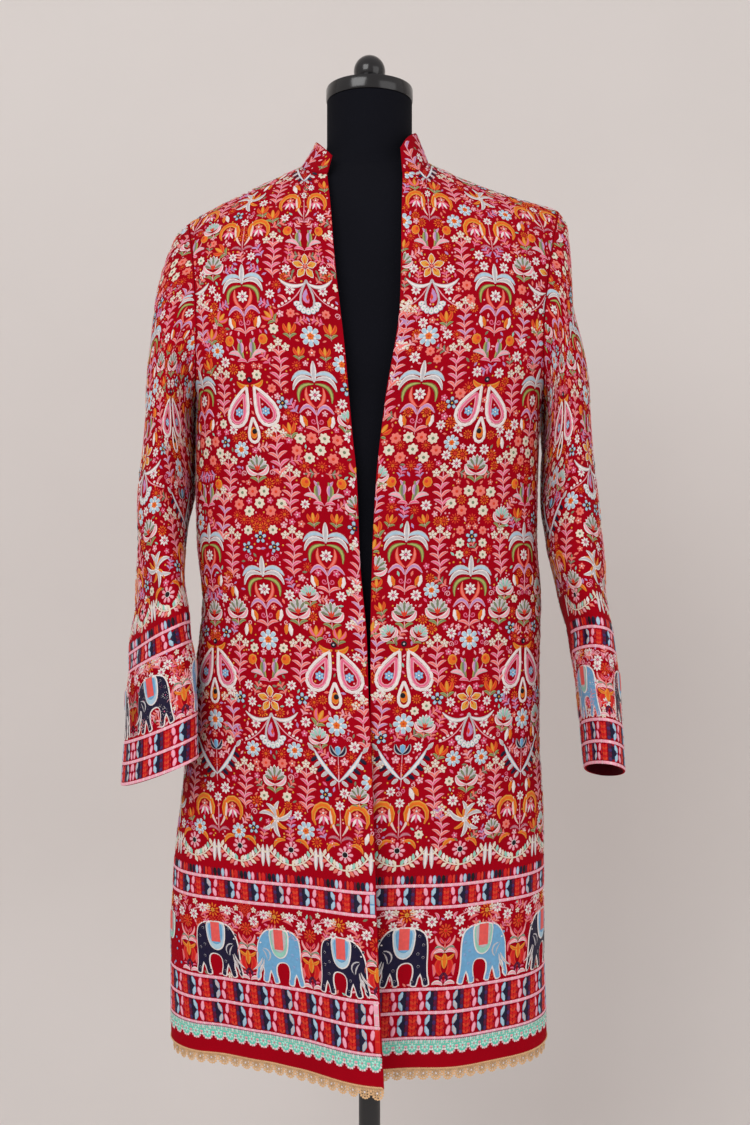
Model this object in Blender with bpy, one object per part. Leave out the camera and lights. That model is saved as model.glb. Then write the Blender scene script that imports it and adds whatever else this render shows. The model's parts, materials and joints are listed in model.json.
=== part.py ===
"""Sherwani coat on its limbless dress form, on a pole and a round base.

Metres, +Z up, the front of the coat looks along -Y.  "right" is the wearer's right (-X).
The coat's body is one family of level sections; the panels, the form inside and the
laces are all read from it, so that they stay nested.
"""
from collections import namedtuple
from math import asin, cos, pi, radians, sin, sqrt

import bpy
import numpy as np

WALL = 0.0020            # embroidered cloth with its lining
SEAM = 0.0003            # open line between two sewn pieces
ARMHOLE_SEAM = 0.0006    # the same at the armhole, measured sideways
HEM_Z = 0.480
UNDERARM_Z = 1.225
ROOF_Z = 1.300           # from here up the body curves in to the shoulder line
PIPED = 0.00015          # each panel's own half of a seam

Level = namedtuple("Level", "z half_right half_left front back square")
BODY = [
    Level(0.480, 0.2346, 0.2097, 0.117, 0.130, 2.15),
    Level(0.590, 0.2346, 0.2061, 0.117, 0.127, 2.15),
    Level(0.680, 0.2311, 0.2061, 0.117, 0.124, 2.15),
    Level(0.755, 0.2228, 0.2050, 0.117, 0.121, 2.15),
    Level(0.830, 0.2140, 0.2005, 0.117, 0.117, 2.20),
    Level(0.920, 0.2045, 0.2005, 0.114, 0.111, 2.25),
    Level(0.992, 0.1970, 0.2022, 0.112, 0.107, 2.30),
    Level(1.064, 0.2037, 0.1978, 0.113, 0.107, 2.30),
    Level(1.140, 0.2050, 0.1985, 0.119, 0.112, 2.35),
    Level(1.225, 0.2030, 0.2030, 0.125, 0.119, 2.40),
    Level(1.260, 0.2150, 0.2150, 0.126, 0.121, 2.40),
    Level(1.300, 0.2245, 0.2245, 0.126, 0.122, 2.40),
    Level(1.340, 0.2310, 0.2310, 0.126, 0.122, 2.40),
    Level(1.400, 0.2420, 0.2420, 0.126, 0.122, 2.40),
    Level(1.460, 0.2520, 0.2520, 0.126, 0.122, 2.40),
    Level(1.540, 0.2600, 0.2600, 0.126, 0.122, 2.40),
]

# Shoulder line: height over the distance from the middle, on each side.
Ridge = namedtuple("Ridge", "out z")
SHOULDER = {
    -1: [Ridge(0.000, 1.530), Ridge(0.040, 1.522), Ridge(0.080, 1.503), Ridge(0.130, 1.480),
         Ridge(0.172, 1.460), Ridge(0.212, 1.438), Ridge(0.250, 1.412)],
    1: [Ridge(0.000, 1.530), Ridge(0.040, 1.524), Ridge(0.070, 1.507), Ridge(0.1315, 1.480),
        Ridge(0.179, 1.465), Ridge(0.222, 1.453), Ridge(0.250, 1.440)],
}
NECK_OUT = {-1: 0.080, 1: 0.070}
NECK_BACK_Z = 1.497
NECK_FRONT_Z = 1.4773

# Armhole: how far out the cut lies at each height, from the underarm to the shoulder tip.
Cut = namedtuple("Cut", "z out")
ARMHOLE = {
    -1: [Cut(1.225, 0.203), Cut(1.260, 0.198), Cut(1.300, 0.195), Cut(1.350, 0.197),
         Cut(1.400, 0.203), Cut(1.438, 0.212)],
    1: [Cut(1.225, 0.203), Cut(1.260, 0.199), Cut(1.300, 0.197), Cut(1.350, 0.201),
        Cut(1.400, 0.209), Cut(1.453, 0.222)],
}

# Front edges: signed x of each panel's edge over height.
Edge = namedtuple("Edge", "z x")
FRONT_EDGE = {
    -1: [Edge(0.480, 0.0160), Edge(0.590, 0.0108), Edge(0.714, 0.0065), Edge(0.821, 0.0032),
         Edge(0.897, -0.0006), Edge(0.952, -0.0023), Edge(1.040, -0.0100), Edge(1.127, -0.0132),
         Edge(1.182, -0.0186), Edge(1.268, -0.0261), Edge(1.367, -0.0372), Edge(1.4375, -0.0432),
         Edge(1.4773, -0.0478)],
    1: [Edge(0.480, -0.0180), Edge(0.600, -0.0120), Edge(0.700, -0.0070), Edge(0.800, -0.0020),
        Edge(0.850, 0.0005), Edge(0.897, 0.0014), Edge(0.952, 0.0014), Edge(1.040, 0.0032),
        Edge(1.127, 0.0076), Edge(1.214, 0.0174), Edge(1.323, 0.0337), Edge(1.4375, 0.0363),
        Edge(1.4773, 0.0377)],
}

# The right panel lies over the left one and swings forward to the hem.
SWING_TOP_Z, SWING, SWING_POWER = 1.000, 0.0486, 1.6
Share = namedtuple("Share", "across push")
SWING_SHAPE = [Share(0.00, 1.00), Share(0.12, 0.76), Share(0.23, 0.50), Share(0.38, 0.05),
               Share(0.53, -0.28), Share(0.70, -0.30), Share(0.85, -0.14), Share(1.00, 0.00)]

# Soft folds of the skirt, as a share of the depth.
FOLD_TOP_Z, FOLD_FRONT, FOLD_BACK = 1.080, 0.024, 0.034
FOLD_FRONT_STEP, FOLD_BACK_STEP, FOLD_PHASE = 0.104, 0.136, 0.6
FOLD_POWER = 1.3         # how late toward the hem the folds open

SKIRT_ROWS = [0.480, 0.516, 0.585, 0.655, 0.725, 0.795, 0.860, 0.925, 0.990, 1.050, 1.110, 1.170]
UPPER_SHARES = [0.0, 0.024, 0.095, 0.206, 0.345, 0.500, 0.655, 0.794, 0.893, 0.957, 0.989, 1.0]
UPPER_STEPS = len(UPPER_SHARES) - 1
# How the front neck curve goes out and up from the corner to the shoulder, as shares.
NECK_CURVE = [(0.0, 0.0), (0.42, 0.12), (0.72, 0.36), (0.90, 0.65), (0.98, 0.90), (1.0, 1.0)]
NECK_STEPS = len(NECK_CURVE) - 1
SIDE_STEPS, BACK_SIDE_STEPS, BACK_NECK_STEPS = 11, 10, 6
FRONT_NECK_SHARE = 0.26  # share of a front panel's width that its neck curve takes
BACK_NECK_SHARE = 0.36   # share of the back's half width that its neck takes
BACK_NECK_EASE = 0.999   # draws the back's neck points a hair toward the middle
SLOPE_STEP = 0.002       # half the stretch over which a seam's slope is measured

# Sleeves: outer and inner point of each section, its middle's depth, half its front-to-back
# size, its turn about the vertical, its lean and the height of its creases.
Ring = namedtuple("Ring", "out_x out_z in_x in_z forward half turn lean crease")
SLEEVE = {
    -1: [
        Ring(0.2275, 1.4240, 0.2072, 1.216, 0.000, 0.071, 0, 0, 0.0),
        Ring(0.2400, 1.3930, 0.2085, 1.200, 0.000, 0.075, 0, 0, 0.0),
        Ring(0.2515, 1.3450, 0.2088, 1.182, 0.000, 0.079, 0, 0, 0.0010),
        Ring(0.2560, 1.2950, 0.2088, 1.163, 0.000, 0.082, 0, 0, 0.0015),
        Ring(0.2605, 1.2400, 0.2088, 1.143, 0.000, 0.083, 0, 0, 0.0020),
        Ring(0.2660, 1.1800, 0.2095, 1.120, 0.000, 0.083, 1, 0, 0.0020),
        Ring(0.2735, 1.1150, 0.2145, 1.090, 0.002, 0.082, 4, 2, 0.0020),
        Ring(0.2752, 1.0550, 0.2160, 1.045, 0.008, 0.080, 9, 4, 0.0025),
        Ring(0.2785, 1.0000, 0.2090, 0.995, 0.018, 0.076, 17, 7, 0.0030),
        Ring(0.2840, 0.9450, 0.2010, 0.945, 0.033, 0.072, 25, 10, 0.0025),
        Ring(0.2858, 0.8950, 0.1965, 0.898, 0.044, 0.069, 30, 12, 0.0015),
        Ring(0.2855, 0.8450, 0.1935, 0.856, 0.054, 0.067, 34, 13, 0.0010),
        Ring(0.2875, 0.7880, 0.1910, 0.811, 0.063, 0.066, 37, 14, 0.0),
    ],
    1: [
        Ring(0.2330, 1.4370, 0.2070, 1.216, 0.000, 0.071, 0, 0, 0.0),
        Ring(0.2362, 1.4000, 0.2078, 1.200, 0.000, 0.075, 0, 0, 0.0),
        Ring(0.2378, 1.3500, 0.2075, 1.182, 0.000, 0.079, 0, 0, 0.0010),
        Ring(0.2480, 1.3000, 0.2070, 1.163, 0.000, 0.082, 0, 0, 0.0015),
        Ring(0.2570, 1.2400, 0.2060, 1.143, 0.000, 0.083, 0, 0, 0.0020),
        Ring(0.2625, 1.1800, 0.2052, 1.120, 0.000, 0.083, 1, 0, 0.0020),
        Ring(0.2680, 1.1200, 0.2065, 1.090, 0.002, 0.082, 2, 2, 0.0020),
        Ring(0.2738, 1.0600, 0.2118, 1.045, 0.006, 0.080, 3, 4, 0.0025),
        Ring(0.2780, 1.0000, 0.2240, 0.995, 0.012, 0.078, 4, 7, 0.0030),
        Ring(0.2855, 0.9450, 0.2350, 0.945, 0.022, 0.074, 4, 10, 0.0025),
        Ring(0.2885, 0.8950, 0.2400, 0.895, 0.032, 0.071, 4, 12, 0.0015),
        Ring(0.2905, 0.8450, 0.2445, 0.848, 0.042, 0.069, 3, 13, 0.0010),
        Ring(0.2915, 0.7950, 0.2475, 0.803, 0.052, 0.068, 3, 14, 0.0),
    ],
}
CAP_BLEND = [0.70, 0.40, 0.15]      # how much of the armhole's own shape the first rings keep
CREASES, CREASE_SHIFT = 3, 1.9      # creases round a sleeve, and their turn from ring to ring
CAP_TURN = (0.05, 0.35)             # between these shares of its height the cap takes the body's slant

# Collar: its top line from the right front corner round the back to the left front corner.
Top = namedtuple("Top", "share x y z")
COLLAR_TOP = [
    Top(0.00, -0.0430, -0.0700, 1.4990), Top(0.05, -0.0495, -0.0600, 1.5080),
    Top(0.14, -0.0585, -0.0380, 1.5220), Top(0.26, -0.0635, 0.0000, 1.5350),
    Top(0.38, -0.0500, 0.0470, 1.5410), Top(0.50, -0.0030, 0.0680, 1.5440),
    Top(0.62, 0.0430, 0.0480, 1.5460), Top(0.74, 0.0560, 0.0000, 1.5437),
    Top(0.86, 0.0520, -0.0380, 1.5340), Top(0.95, 0.0425, -0.0620, 1.5200),
    Top(1.00, 0.0362, -0.0700, 1.5080),
]
COLLAR_ROWS = 4
COLLAR_IN, COLLAR_UP = 0.00035, 0.00035      # its foot's way in from the neck edge and up

SCALLOP = 0.0140
SCALLOP_STEPS = 3
SCALLOP_FULL = 1.12      # how much fuller than a half wave a scallop is
CORNER = 0.0006          # a lace keeps the corners of the cloth that are further than this from its own
LACE = 0.0010
Trim = namedtuple("Trim", "top band drop outward")
MINT = Trim(0.0320, 0.0245, 0.0075, 0.0005)
GOLD = Trim(0.0060, -0.0040, 0.0085, -(WALL + 0.0005 + LACE))

# Dress form, inside the same sections.
FORM_IN, FORM_DOWN, FORM_ARM_IN, FORM_NECK_IN, FORM_NECK_Z = 0.0120, 0.0006, 0.0140, 0.008, 1.494
FORM_SLIM = 0.885        # share of the coat's depth above the underarm
FORM_ROWS = [0.830, 0.836, 0.880, 0.940, 1.000, 1.060, 1.130, 1.200, 1.240, 1.280, 1.320, 1.360,
             1.395, 1.420, 1.437, 1.450, 1.461, 1.472, 1.483, 1.492, 1.496]
FORM_COLUMNS = 17
FORM_EDGE = 0.985        # share of its room that the form's side edge takes
FORM_ARM_BELOW = 0.03    # the form is drawn in for the armhole from this far below it
FORM_FOOT_TUCKS = (0.90, 0.985)      # how its two lowest sections are drawn in
Neck = namedtuple("Neck", "z radius")
NECK = [Neck(1.507, 0.0545), Neck(1.517, 0.0525), Neck(1.530, 0.0505), Neck(1.5817, 0.0505)]

Turn = namedtuple("Turn", "radius z")
CAP = [Turn(0.0490, 1.5820), Turn(0.0515, 1.5840), Turn(0.0515, 1.5965), Turn(0.0490, 1.5990)]
KNOB_RADIUS, KNOB_Z, KNOB_FOOT_Z, KNOB_FOOT_RADIUS = 0.0187, 1.6200, 1.5993, 0.0100
KNOB_NECK = 0.0030       # height of the stalk under the ball
KNOB_ROUND = 0.93        # share of the ball's upper quarter that is turned before its small flat top
KNOB_STEPS = 9
POLE_RADIUS, POLE_TOP_Z = 0.0127, 0.8297
BASE = [Turn(0.1660, 0.0000), Turn(0.1700, 0.0030), Turn(0.1700, 0.0090), Turn(0.1660, 0.0120),
        Turn(0.0400, 0.0150), Turn(0.0300, 0.0190), Turn(0.0240, 0.0300), Turn(0.0220, 0.0500)]
ROUND_STEPS = 32


def smooth(rows, at):
    """Every column of a table after the first, read smoothly at one place or many."""
    table = np.array(rows, float)
    x, y = table[:, 0], table[:, 1:]
    step = np.diff(x)[:, None]
    rise = np.diff(y, axis=0) / step
    slope = np.zeros_like(y)
    a, b = rise[:-1], rise[1:]
    same = a * b > 0
    slope[1:-1][same] = 2 * a[same] * b[same] / (a[same] + b[same])
    slope[0], slope[-1] = rise[0], rise[-1]
    at = np.clip(np.atleast_1d(np.asarray(at, float)), x[0], x[-1])
    k = np.clip(np.searchsorted(x, at) - 1, 0, len(x) - 2)
    h = (x[k + 1] - x[k])[:, None]
    t = ((at - x[k])[:, None]) / h
    return (y[k] * (1 + 2 * t) * (1 - t) ** 2 + slope[k] * h * t * (1 - t) ** 2
            + y[k + 1] * t * t * (3 - 2 * t) + slope[k + 1] * h * t * t * (t - 1))


def ridge(x):
    """Height of the shoulder line above a signed x."""
    side = 1 if x >= 0 else -1
    return float(smooth(SHOULDER[side], abs(x))[0, 0])


def fold(x, z, back):
    if z >= FOLD_TOP_Z:
        return 0.0
    high = ((FOLD_TOP_Z - z) / (FOLD_TOP_Z - HEM_Z)) ** FOLD_POWER
    if back:
        return FOLD_BACK * high * cos(2 * pi * x / FOLD_BACK_STEP)
    return FOLD_FRONT * high * cos(2 * pi * x / FOLD_FRONT_STEP + FOLD_PHASE)


def depth(x, z, back, inset=0.0):
    """How far the body stands out from the middle plane at (x, z), on its front or back."""
    half_right, half_left, front, rear, square = smooth(BODY, z)[0]
    half = (half_left if x >= 0 else half_right) - inset
    reach = (rear if back else front) - inset
    share = min(abs(x) / half, 1.0)
    out = reach * max(1 - share ** square, 0.0) ** (1 / square)
    if inset == 0:
        out *= 1 + fold(x, z, back)
    if z > ROOF_Z:
        up = min((z - ROOF_Z) / (ridge(x) - ROOF_Z), 1.0)
        out *= sqrt(max(1 - up * up, 0.0))
    return out


def swing(x, z, across):
    if z >= SWING_TOP_Z:
        return 0.0
    high = ((SWING_TOP_Z - z) / (SWING_TOP_Z - HEM_Z)) ** SWING_POWER
    return SWING * high * float(smooth(SWING_SHAPE, across)[0, 0])


def half_width(side, z):
    return float(smooth(BODY, z)[0, 1 if side > 0 else 0])


def cut_out(side, z):
    return float(smooth(ARMHOLE[side], z)[0, 0])


def quarter(share):
    return 1 - sqrt(max(1 - share * share, 0.0))


def normals(points, closed=False):
    """Outward unit normals of a grid whose rows go up and columns go round."""
    along = np.gradient(points, axis=0)
    if closed:
        around = (np.roll(points, -1, 1) - np.roll(points, 1, 1)) / 2
    else:
        around = np.gradient(points, axis=1)
    out = np.cross(around, along)
    return out / np.maximum(np.linalg.norm(out, axis=2, keepdims=True), 1e-12)


def draw_in(border, inner):
    """Border points drawn back toward the next ones by the panel's own half of a seam."""
    step = inner - border
    return border + step / np.linalg.norm(step, axis=-1, keepdims=True) * PIPED


def add_object(name, points, faces, paint):
    mesh = bpy.data.meshes.new(name)
    mesh.from_pydata([tuple(map(float, p)) for p in points], [], faces)
    mesh.update()
    mesh.materials.append(paint)
    thing = bpy.data.objects.new(name, mesh)
    bpy.context.scene.collection.objects.link(thing)
    return thing


def add_wall(name, outer, inner, paint, closed=False):
    """A cloth wall between two grids, with its rims."""
    rows, columns = outer.shape[:2]
    count = rows * columns
    points = np.concatenate([outer.reshape(-1, 3), inner.reshape(-1, 3)])
    faces = []
    last = columns if closed else columns - 1
    for i in range(rows - 1):
        for j in range(last):
            a, b = i * columns + j, i * columns + (j + 1) % columns
            c, d = b + columns, a + columns
            faces += [(a, b, c), (a, c, d)]
            faces += [(count + a, count + c, count + b), (count + a, count + d, count + c)]
    for j in range(last):
        k = (j + 1) % columns
        faces.append((j, count + j, count + k, k))
        top = (rows - 1) * columns
        faces.append((top + k, count + top + k, count + top + j, top + j))
    if not closed:
        for i in range(rows - 1):
            a, b = i * columns, (i + 1) * columns
            faces.append((b, count + b, count + a, a))
            a, b = a + columns - 1, b + columns - 1
            faces.append((a, count + a, count + b, b))
    return add_object(name, points, faces, paint)


def add_turned(name, profile, paint):
    """A solid of revolution about the z axis, closed flat at both ends."""
    points, faces = [], []
    for turn in profile:
        for k in range(ROUND_STEPS):
            angle = 2 * pi * k / ROUND_STEPS
            points.append((turn.radius * cos(angle), turn.radius * sin(angle), turn.z))
    for i in range(len(profile) - 1):
        for k in range(ROUND_STEPS):
            a, b = i * ROUND_STEPS + k, i * ROUND_STEPS + (k + 1) % ROUND_STEPS
            faces.append((a, b, b + ROUND_STEPS, a + ROUND_STEPS))
    faces.append(tuple(reversed(range(ROUND_STEPS))))
    top = (len(profile) - 1) * ROUND_STEPS
    faces.append(tuple(range(top, top + ROUND_STEPS)))
    return add_object(name, points, faces, paint)


def material(name, colour, roughness, metallic=0.0):
    paint = bpy.data.materials.new(name)
    paint.use_nodes = True
    surface = paint.node_tree.nodes["Principled BSDF"]
    surface.inputs["Base Color"].default_value = (*colour, 1.0)
    surface.inputs["Roughness"].default_value = roughness
    surface.inputs["Metallic"].default_value = metallic
    return paint


def front_shares():
    neck = [FRONT_NECK_SHARE * k / NECK_STEPS for k in range(NECK_STEPS)]
    side = [FRONT_NECK_SHARE + (1 - FRONT_NECK_SHARE) * sin(pi / 2 * k / SIDE_STEPS)
            for k in range(SIDE_STEPS + 1)]
    return neck + side


def front_grid(side):
    """Points of one front panel, from the front edge out to the side."""
    edge = FRONT_EDGE[side]
    tip_z = ARMHOLE[side][-1].z
    shares = front_shares()
    rows = []
    for z in SKIRT_ROWS:
        start, end = float(smooth(edge, z)[0, 0]), side * half_width(side, z)
        row = []
        for share in shares:
            x = start + (end - start) * share
            y = depth(x, z, False)
            if side < 0:
                y += swing(x, z, share)
            row.append((x, -y, z))
        rows.append(row)
    neck_x, tip_x = side * NECK_OUT[side], side * ARMHOLE[side][-1].out
    corner_x = edge[-1].x
    neck_z = ridge(neck_x)
    tops = []
    for k, share in enumerate(shares):
        if k <= NECK_STEPS:
            outward, upward = NECK_CURVE[k]
            tops.append((corner_x + (neck_x - corner_x) * outward,
                         NECK_FRONT_Z + (neck_z - NECK_FRONT_Z) * upward))
        else:
            x = neck_x + (tip_x - neck_x) * (share - shares[NECK_STEPS]) / (1 - shares[NECK_STEPS])
            tops.append((x, ridge(x) if k < len(shares) - 1 else tip_z))
    for i in range(UPPER_STEPS + 1):
        up = UPPER_SHARES[i]
        row = []
        for k, share in enumerate(shares):
            top_x, top_z = tops[k]
            z = UNDERARM_Z + (top_z - UNDERARM_Z) * up
            start = float(smooth(edge, z)[0, 0])
            top_share = (top_x - corner_x) / (tip_x - corner_x)
            across = share + (top_share - share) * up ** 3
            x = start + (side * cut_out(side, z) - start) * across
            if i == UPPER_STEPS:
                x = top_x
            y = depth(x, z, False)
            if i == UPPER_STEPS and k >= NECK_STEPS:
                y = 0.0
            if i == 0 and k == len(shares) - 1:
                y = 0.0
            row.append((x, -y, z))
        rows.append(row)
    grid = np.array(rows)
    return grid if side > 0 else grid[:, ::-1]


def back_shares():
    """Places across the back from -1 to 1, with the neck points at the middle breaks."""
    inner = BACK_NECK_SHARE
    neck = [inner * sin(pi / 2 * k / BACK_NECK_STEPS * BACK_NECK_EASE) for k in range(BACK_NECK_STEPS)]
    side = [inner + (1 - inner) * sin(pi / 2 * k / BACK_SIDE_STEPS) for k in range(BACK_SIDE_STEPS + 1)]
    right = neck + side
    return [-s for s in reversed(right[1:])] + right


def back_grid():
    """Points of the back, from the left side round to the right side (as seen from behind)."""
    shares = back_shares()
    rows = []
    for z in SKIRT_ROWS:
        rows.append([(s * half_width(1 if s >= 0 else -1, z),
                      depth(s * half_width(1 if s >= 0 else -1, z), z, True), z) for s in shares])
    for i in range(UPPER_STEPS + 1):
        up = UPPER_SHARES[i]
        row = []
        for s in shares:
            side = 1 if s >= 0 else -1
            size = abs(s)
            neck_x, tip = NECK_OUT[side], ARMHOLE[side][-1]
            inner = BACK_NECK_SHARE
            if size < inner - 1e-9:
                top_x = neck_x * size / inner
                top_z = NECK_BACK_Z + (ridge(side * neck_x) - NECK_BACK_Z) * quarter(size / inner)
            else:
                top_x = neck_x + (tip.out - neck_x) * (size - inner) / (1 - inner)
                top_z = ridge(side * top_x)
            if size > 1 - 1e-9:
                top_z = tip.z
            z = UNDERARM_Z + (top_z - UNDERARM_Z) * up
            x = side * cut_out(side, z) * (size + (top_x / tip.out - size) * up ** 3)
            if i == UPPER_STEPS:
                x = side * top_x
            y = depth(x, z, True)
            if (i == UPPER_STEPS and size >= inner - 1e-9) or (i == 0 and size > 1 - 1e-9):
                y = 0.0
            row.append((x, y, z))
        rows.append(row)
    return np.array(rows)[:, ::-1]


def side_normal(side, z):
    lean = (half_width(side, z + SLOPE_STEP) - half_width(side, z - SLOPE_STEP)) / (2 * SLOPE_STEP)
    if z > UNDERARM_Z - SLOPE_STEP:
        lean = 0.0
    out = np.array((side, 0.0, -lean))
    return out / np.linalg.norm(out)


def shoulder_normal(side, x):
    rise = (ridge(x + SLOPE_STEP) - ridge(x - SLOPE_STEP)) / (2 * SLOPE_STEP)
    out = np.array((-rise, 0.0, 1.0))
    return out / np.linalg.norm(out)


def share_seams(grid, out, ends, neck_columns):
    """Give the points on side and shoulder seams one normal, the same for both panels."""
    skirt = len(SKIRT_ROWS)
    for j, side in ends:
        for i in range(skirt + 1):
            out[i, j] = side_normal(side, grid[i, j, 2])
    for j in range(grid.shape[1]):
        if j not in neck_columns:
            x = grid[-1, j, 0]
            out[-1, j] = shoulder_normal(1 if x > 0 else -1, x)
    return out


def build_panels(cloth):
    panels = {}
    for side, name in ((-1, "front_right"), (1, "front_left")):
        grid = front_grid(side)
        last = grid.shape[1] - 1
        seam, edge = (0, last) if side < 0 else (last, 0)
        neck = (range(last - NECK_STEPS + 1, last + 1) if side < 0 else range(0, NECK_STEPS))
        out = share_seams(grid, normals(grid), [(seam, side)], list(neck))
        outer = grid.copy()
        skirt = len(SKIRT_ROWS)
        inner_column = 1 if seam == 0 else seam - 1
        outer[:skirt + 1, seam] = draw_in(grid[:skirt + 1, seam], grid[:skirt + 1, inner_column])
        for j in range(last + 1):
            if j not in neck:
                outer[-1, j] = draw_in(grid[-1, j], grid[-2, j])
        add_wall(name, outer, outer - out * WALL, cloth)
        panels[side] = (grid, outer, out, seam, edge)
    grid = back_grid()
    last = grid.shape[1] - 1
    inner = BACK_SIDE_STEPS
    neck = list(range(inner + 1, last - inner))
    out = share_seams(grid, normals(grid), [(0, 1), (last, -1)], neck)
    outer = grid.copy()
    skirt = len(SKIRT_ROWS)
    for j, k in ((0, 1), (last, last - 1)):
        outer[:skirt + 1, j] = draw_in(grid[:skirt + 1, j], grid[:skirt + 1, k])
    for j in range(last + 1):
        if j not in neck:
            outer[-1, j] = draw_in(grid[-1, j], grid[-2, j])
    add_wall("back", outer, outer - out * WALL, cloth)
    panels[0] = (grid, outer, out, None, None)
    return panels


def build_sleeve(side, panels, cloth):
    front, _, front_out, seam, _ = panels[side]
    back, _, back_out, _, _ = panels[0]
    skirt = len(SKIRT_ROWS)
    back_column = 0 if side > 0 else back.shape[1] - 1
    loop, loop_out = [], []
    for i in range(UPPER_STEPS + 1):
        loop.append(front[skirt + i, seam])
        loop_out.append(front_out[skirt + i, seam])
    for i in range(UPPER_STEPS - 1, 0, -1):
        loop.append(back[skirt + i, back_column])
        loop_out.append(back_out[skirt + i, back_column])
    loop, loop_out = np.array(loop), np.array(loop_out)
    count = len(loop)
    # The loop starts at the underarm, goes up the front to the tip and down the back.
    shares = np.array(UPPER_SHARES + UPPER_SHARES[-2:0:-1])
    angle = np.arccos(2 * shares - 1)
    angle[UPPER_STEPS + 1:] *= -1
    loop = loop + np.array((side * ARMHOLE_SEAM, 0, 0))
    under, tip = loop[0], loop[UPPER_STEPS]
    middle, reach = (tip + under) / 2, (tip - under) / 2
    half = np.abs(loop[:, 1]).max()
    plain = middle + np.outer(np.cos(angle), reach) + np.outer(np.sin(angle), (0, -half, 0))
    own = loop - plain
    rings = [loop]
    for k, r in enumerate(SLEEVE[side]):
        centre = np.array((side * (r.out_x + r.in_x) / 2, -r.forward, (r.out_z + r.in_z) / 2))
        turn, lean = radians(r.turn), radians(r.lean)
        long_x = r.half * sin(turn)
        wide = sqrt(((r.out_x - r.in_x) / 2) ** 2 - long_x ** 2)
        short = np.array((side * wide, -wide * np.tan(turn), (r.out_z - r.in_z) / 2))
        long = np.array((-side * long_x, -r.half * cos(turn) * cos(lean), r.half * sin(lean)))
        swell = 1 + r.crease / r.half * np.sin(CREASES * angle + CREASE_SHIFT * k)
        ring = centre + np.outer(np.cos(angle) * swell, short) + np.outer(np.sin(angle) * swell, long)
        if k < len(CAP_BLEND):
            ring = ring + own * CAP_BLEND[k]
        rings.append(ring)
    grid = np.array(rings)
    order = grid[::-1] if side > 0 else grid[::-1, ::-1]
    out = normals(order, closed=True)
    outward = order - order.mean(axis=1, keepdims=True)
    if (out[2] * outward[2]).sum() < 0:
        out = -out
    blend = np.clip((shares - CAP_TURN[0]) / (CAP_TURN[1] - CAP_TURN[0]), 0, 1)[:, None]
    top_out = loop_out if side > 0 else loop_out[::-1]
    blend = blend if side > 0 else blend[::-1]
    out[-1] = out[-1] * (1 - blend) + top_out * blend
    out[-1] /= np.linalg.norm(out[-1], axis=1, keepdims=True)
    name = "sleeve_left" if side > 0 else "sleeve_right"
    return add_wall(name, order, order - out * WALL, cloth, closed=True)


def build_collar(panels, cloth):
    right, left, back = panels[-1][0], panels[1][0], panels[0][0]
    last = right.shape[1] - 1
    first = back.shape[1] - 1 - BACK_SIDE_STEPS
    foot = np.array([right[-1, j] for j in range(last, last - NECK_STEPS, -1)]
                    + [back[-1, j] for j in range(first, BACK_SIDE_STEPS - 1, -1)]
                    + [left[-1, j] for j in range(NECK_STEPS - 1, -1, -1)])
    inward = foot * (-1, -1, 0)
    inward /= np.linalg.norm(inward, axis=1, keepdims=True)
    foot = foot + inward * COLLAR_IN + np.array((0, 0, COLLAR_UP))
    run = np.concatenate([[0], np.cumsum(np.linalg.norm(np.diff(foot, axis=0), axis=1))])
    top = smooth(COLLAR_TOP, run / run[-1])
    grid = np.array([foot + (top - foot) * k / (COLLAR_ROWS - 1) for k in range(COLLAR_ROWS)])
    grid = grid[:, ::-1]
    out = normals(grid)
    if (out[1] * (grid[1] - grid[1].mean(axis=0))).sum() < 0:
        out = -out
        grid = grid[:, ::-1]
        out = out[:, ::-1]
    return add_wall("collar", grid, grid - out * WALL, cloth)


def build_lace(name, panel, trim, paint):
    """A scalloped strip along a panel's lowest row, in points moved off that row."""
    _, outer, out, _, _ = panel
    low, high, face = outer[0], outer[1], out[0]
    run = np.concatenate([[0], np.cumsum(np.linalg.norm(np.diff(low, axis=0), axis=1))])
    scallops = round((run[-1] - 2 * PIPED) / SCALLOP)
    places = np.linspace(PIPED, run[-1] - PIPED, scallops * SCALLOP_STEPS + 1)
    bow = np.array([sin(pi * (k % SCALLOP_STEPS) / SCALLOP_STEPS) for k in range(len(places))])
    bow = np.minimum(bow * SCALLOP_FULL, 1.0)
    corners = [r for r in run[1:-1] if np.abs(places - r).min() > CORNER]
    bow = np.concatenate([bow, np.interp(corners, places, bow)])
    places = np.concatenate([places, corners])
    order = np.argsort(places)
    places, bow = places[order], bow[order]

    def along(values):
        return np.stack([np.interp(places, run, values[:, k]) for k in range(3)], axis=1)

    start, upward, facing = along(low), along(high - low), along(face)
    upward /= np.linalg.norm(upward, axis=1, keepdims=True)
    facing /= np.linalg.norm(facing, axis=1, keepdims=True)
    bottom = trim.band - trim.drop * bow
    grid = np.array([start + upward * bottom[:, None], start + upward * trim.top])
    return add_wall(name, grid + facing * (trim.outward + LACE), grid + facing * trim.outward, paint)


def form_depth(x, z, back):
    """The form's depth: inside the flats that the coat's own rows make above the underarm."""
    if z < UNDERARM_Z:
        return depth(x, z, back, FORM_IN)
    top = ridge(x)
    heights = [UNDERARM_Z + (top - UNDERARM_Z) * share for share in UPPER_SHARES]
    depths = [depth(x, h, back) for h in heights[:-1]] + [0.0]
    lower = WALL / shoulder_normal(1 if x >= 0 else -1, x)[2] + FORM_DOWN
    return FORM_SLIM * float(np.interp(z + lower, heights, depths))


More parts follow.
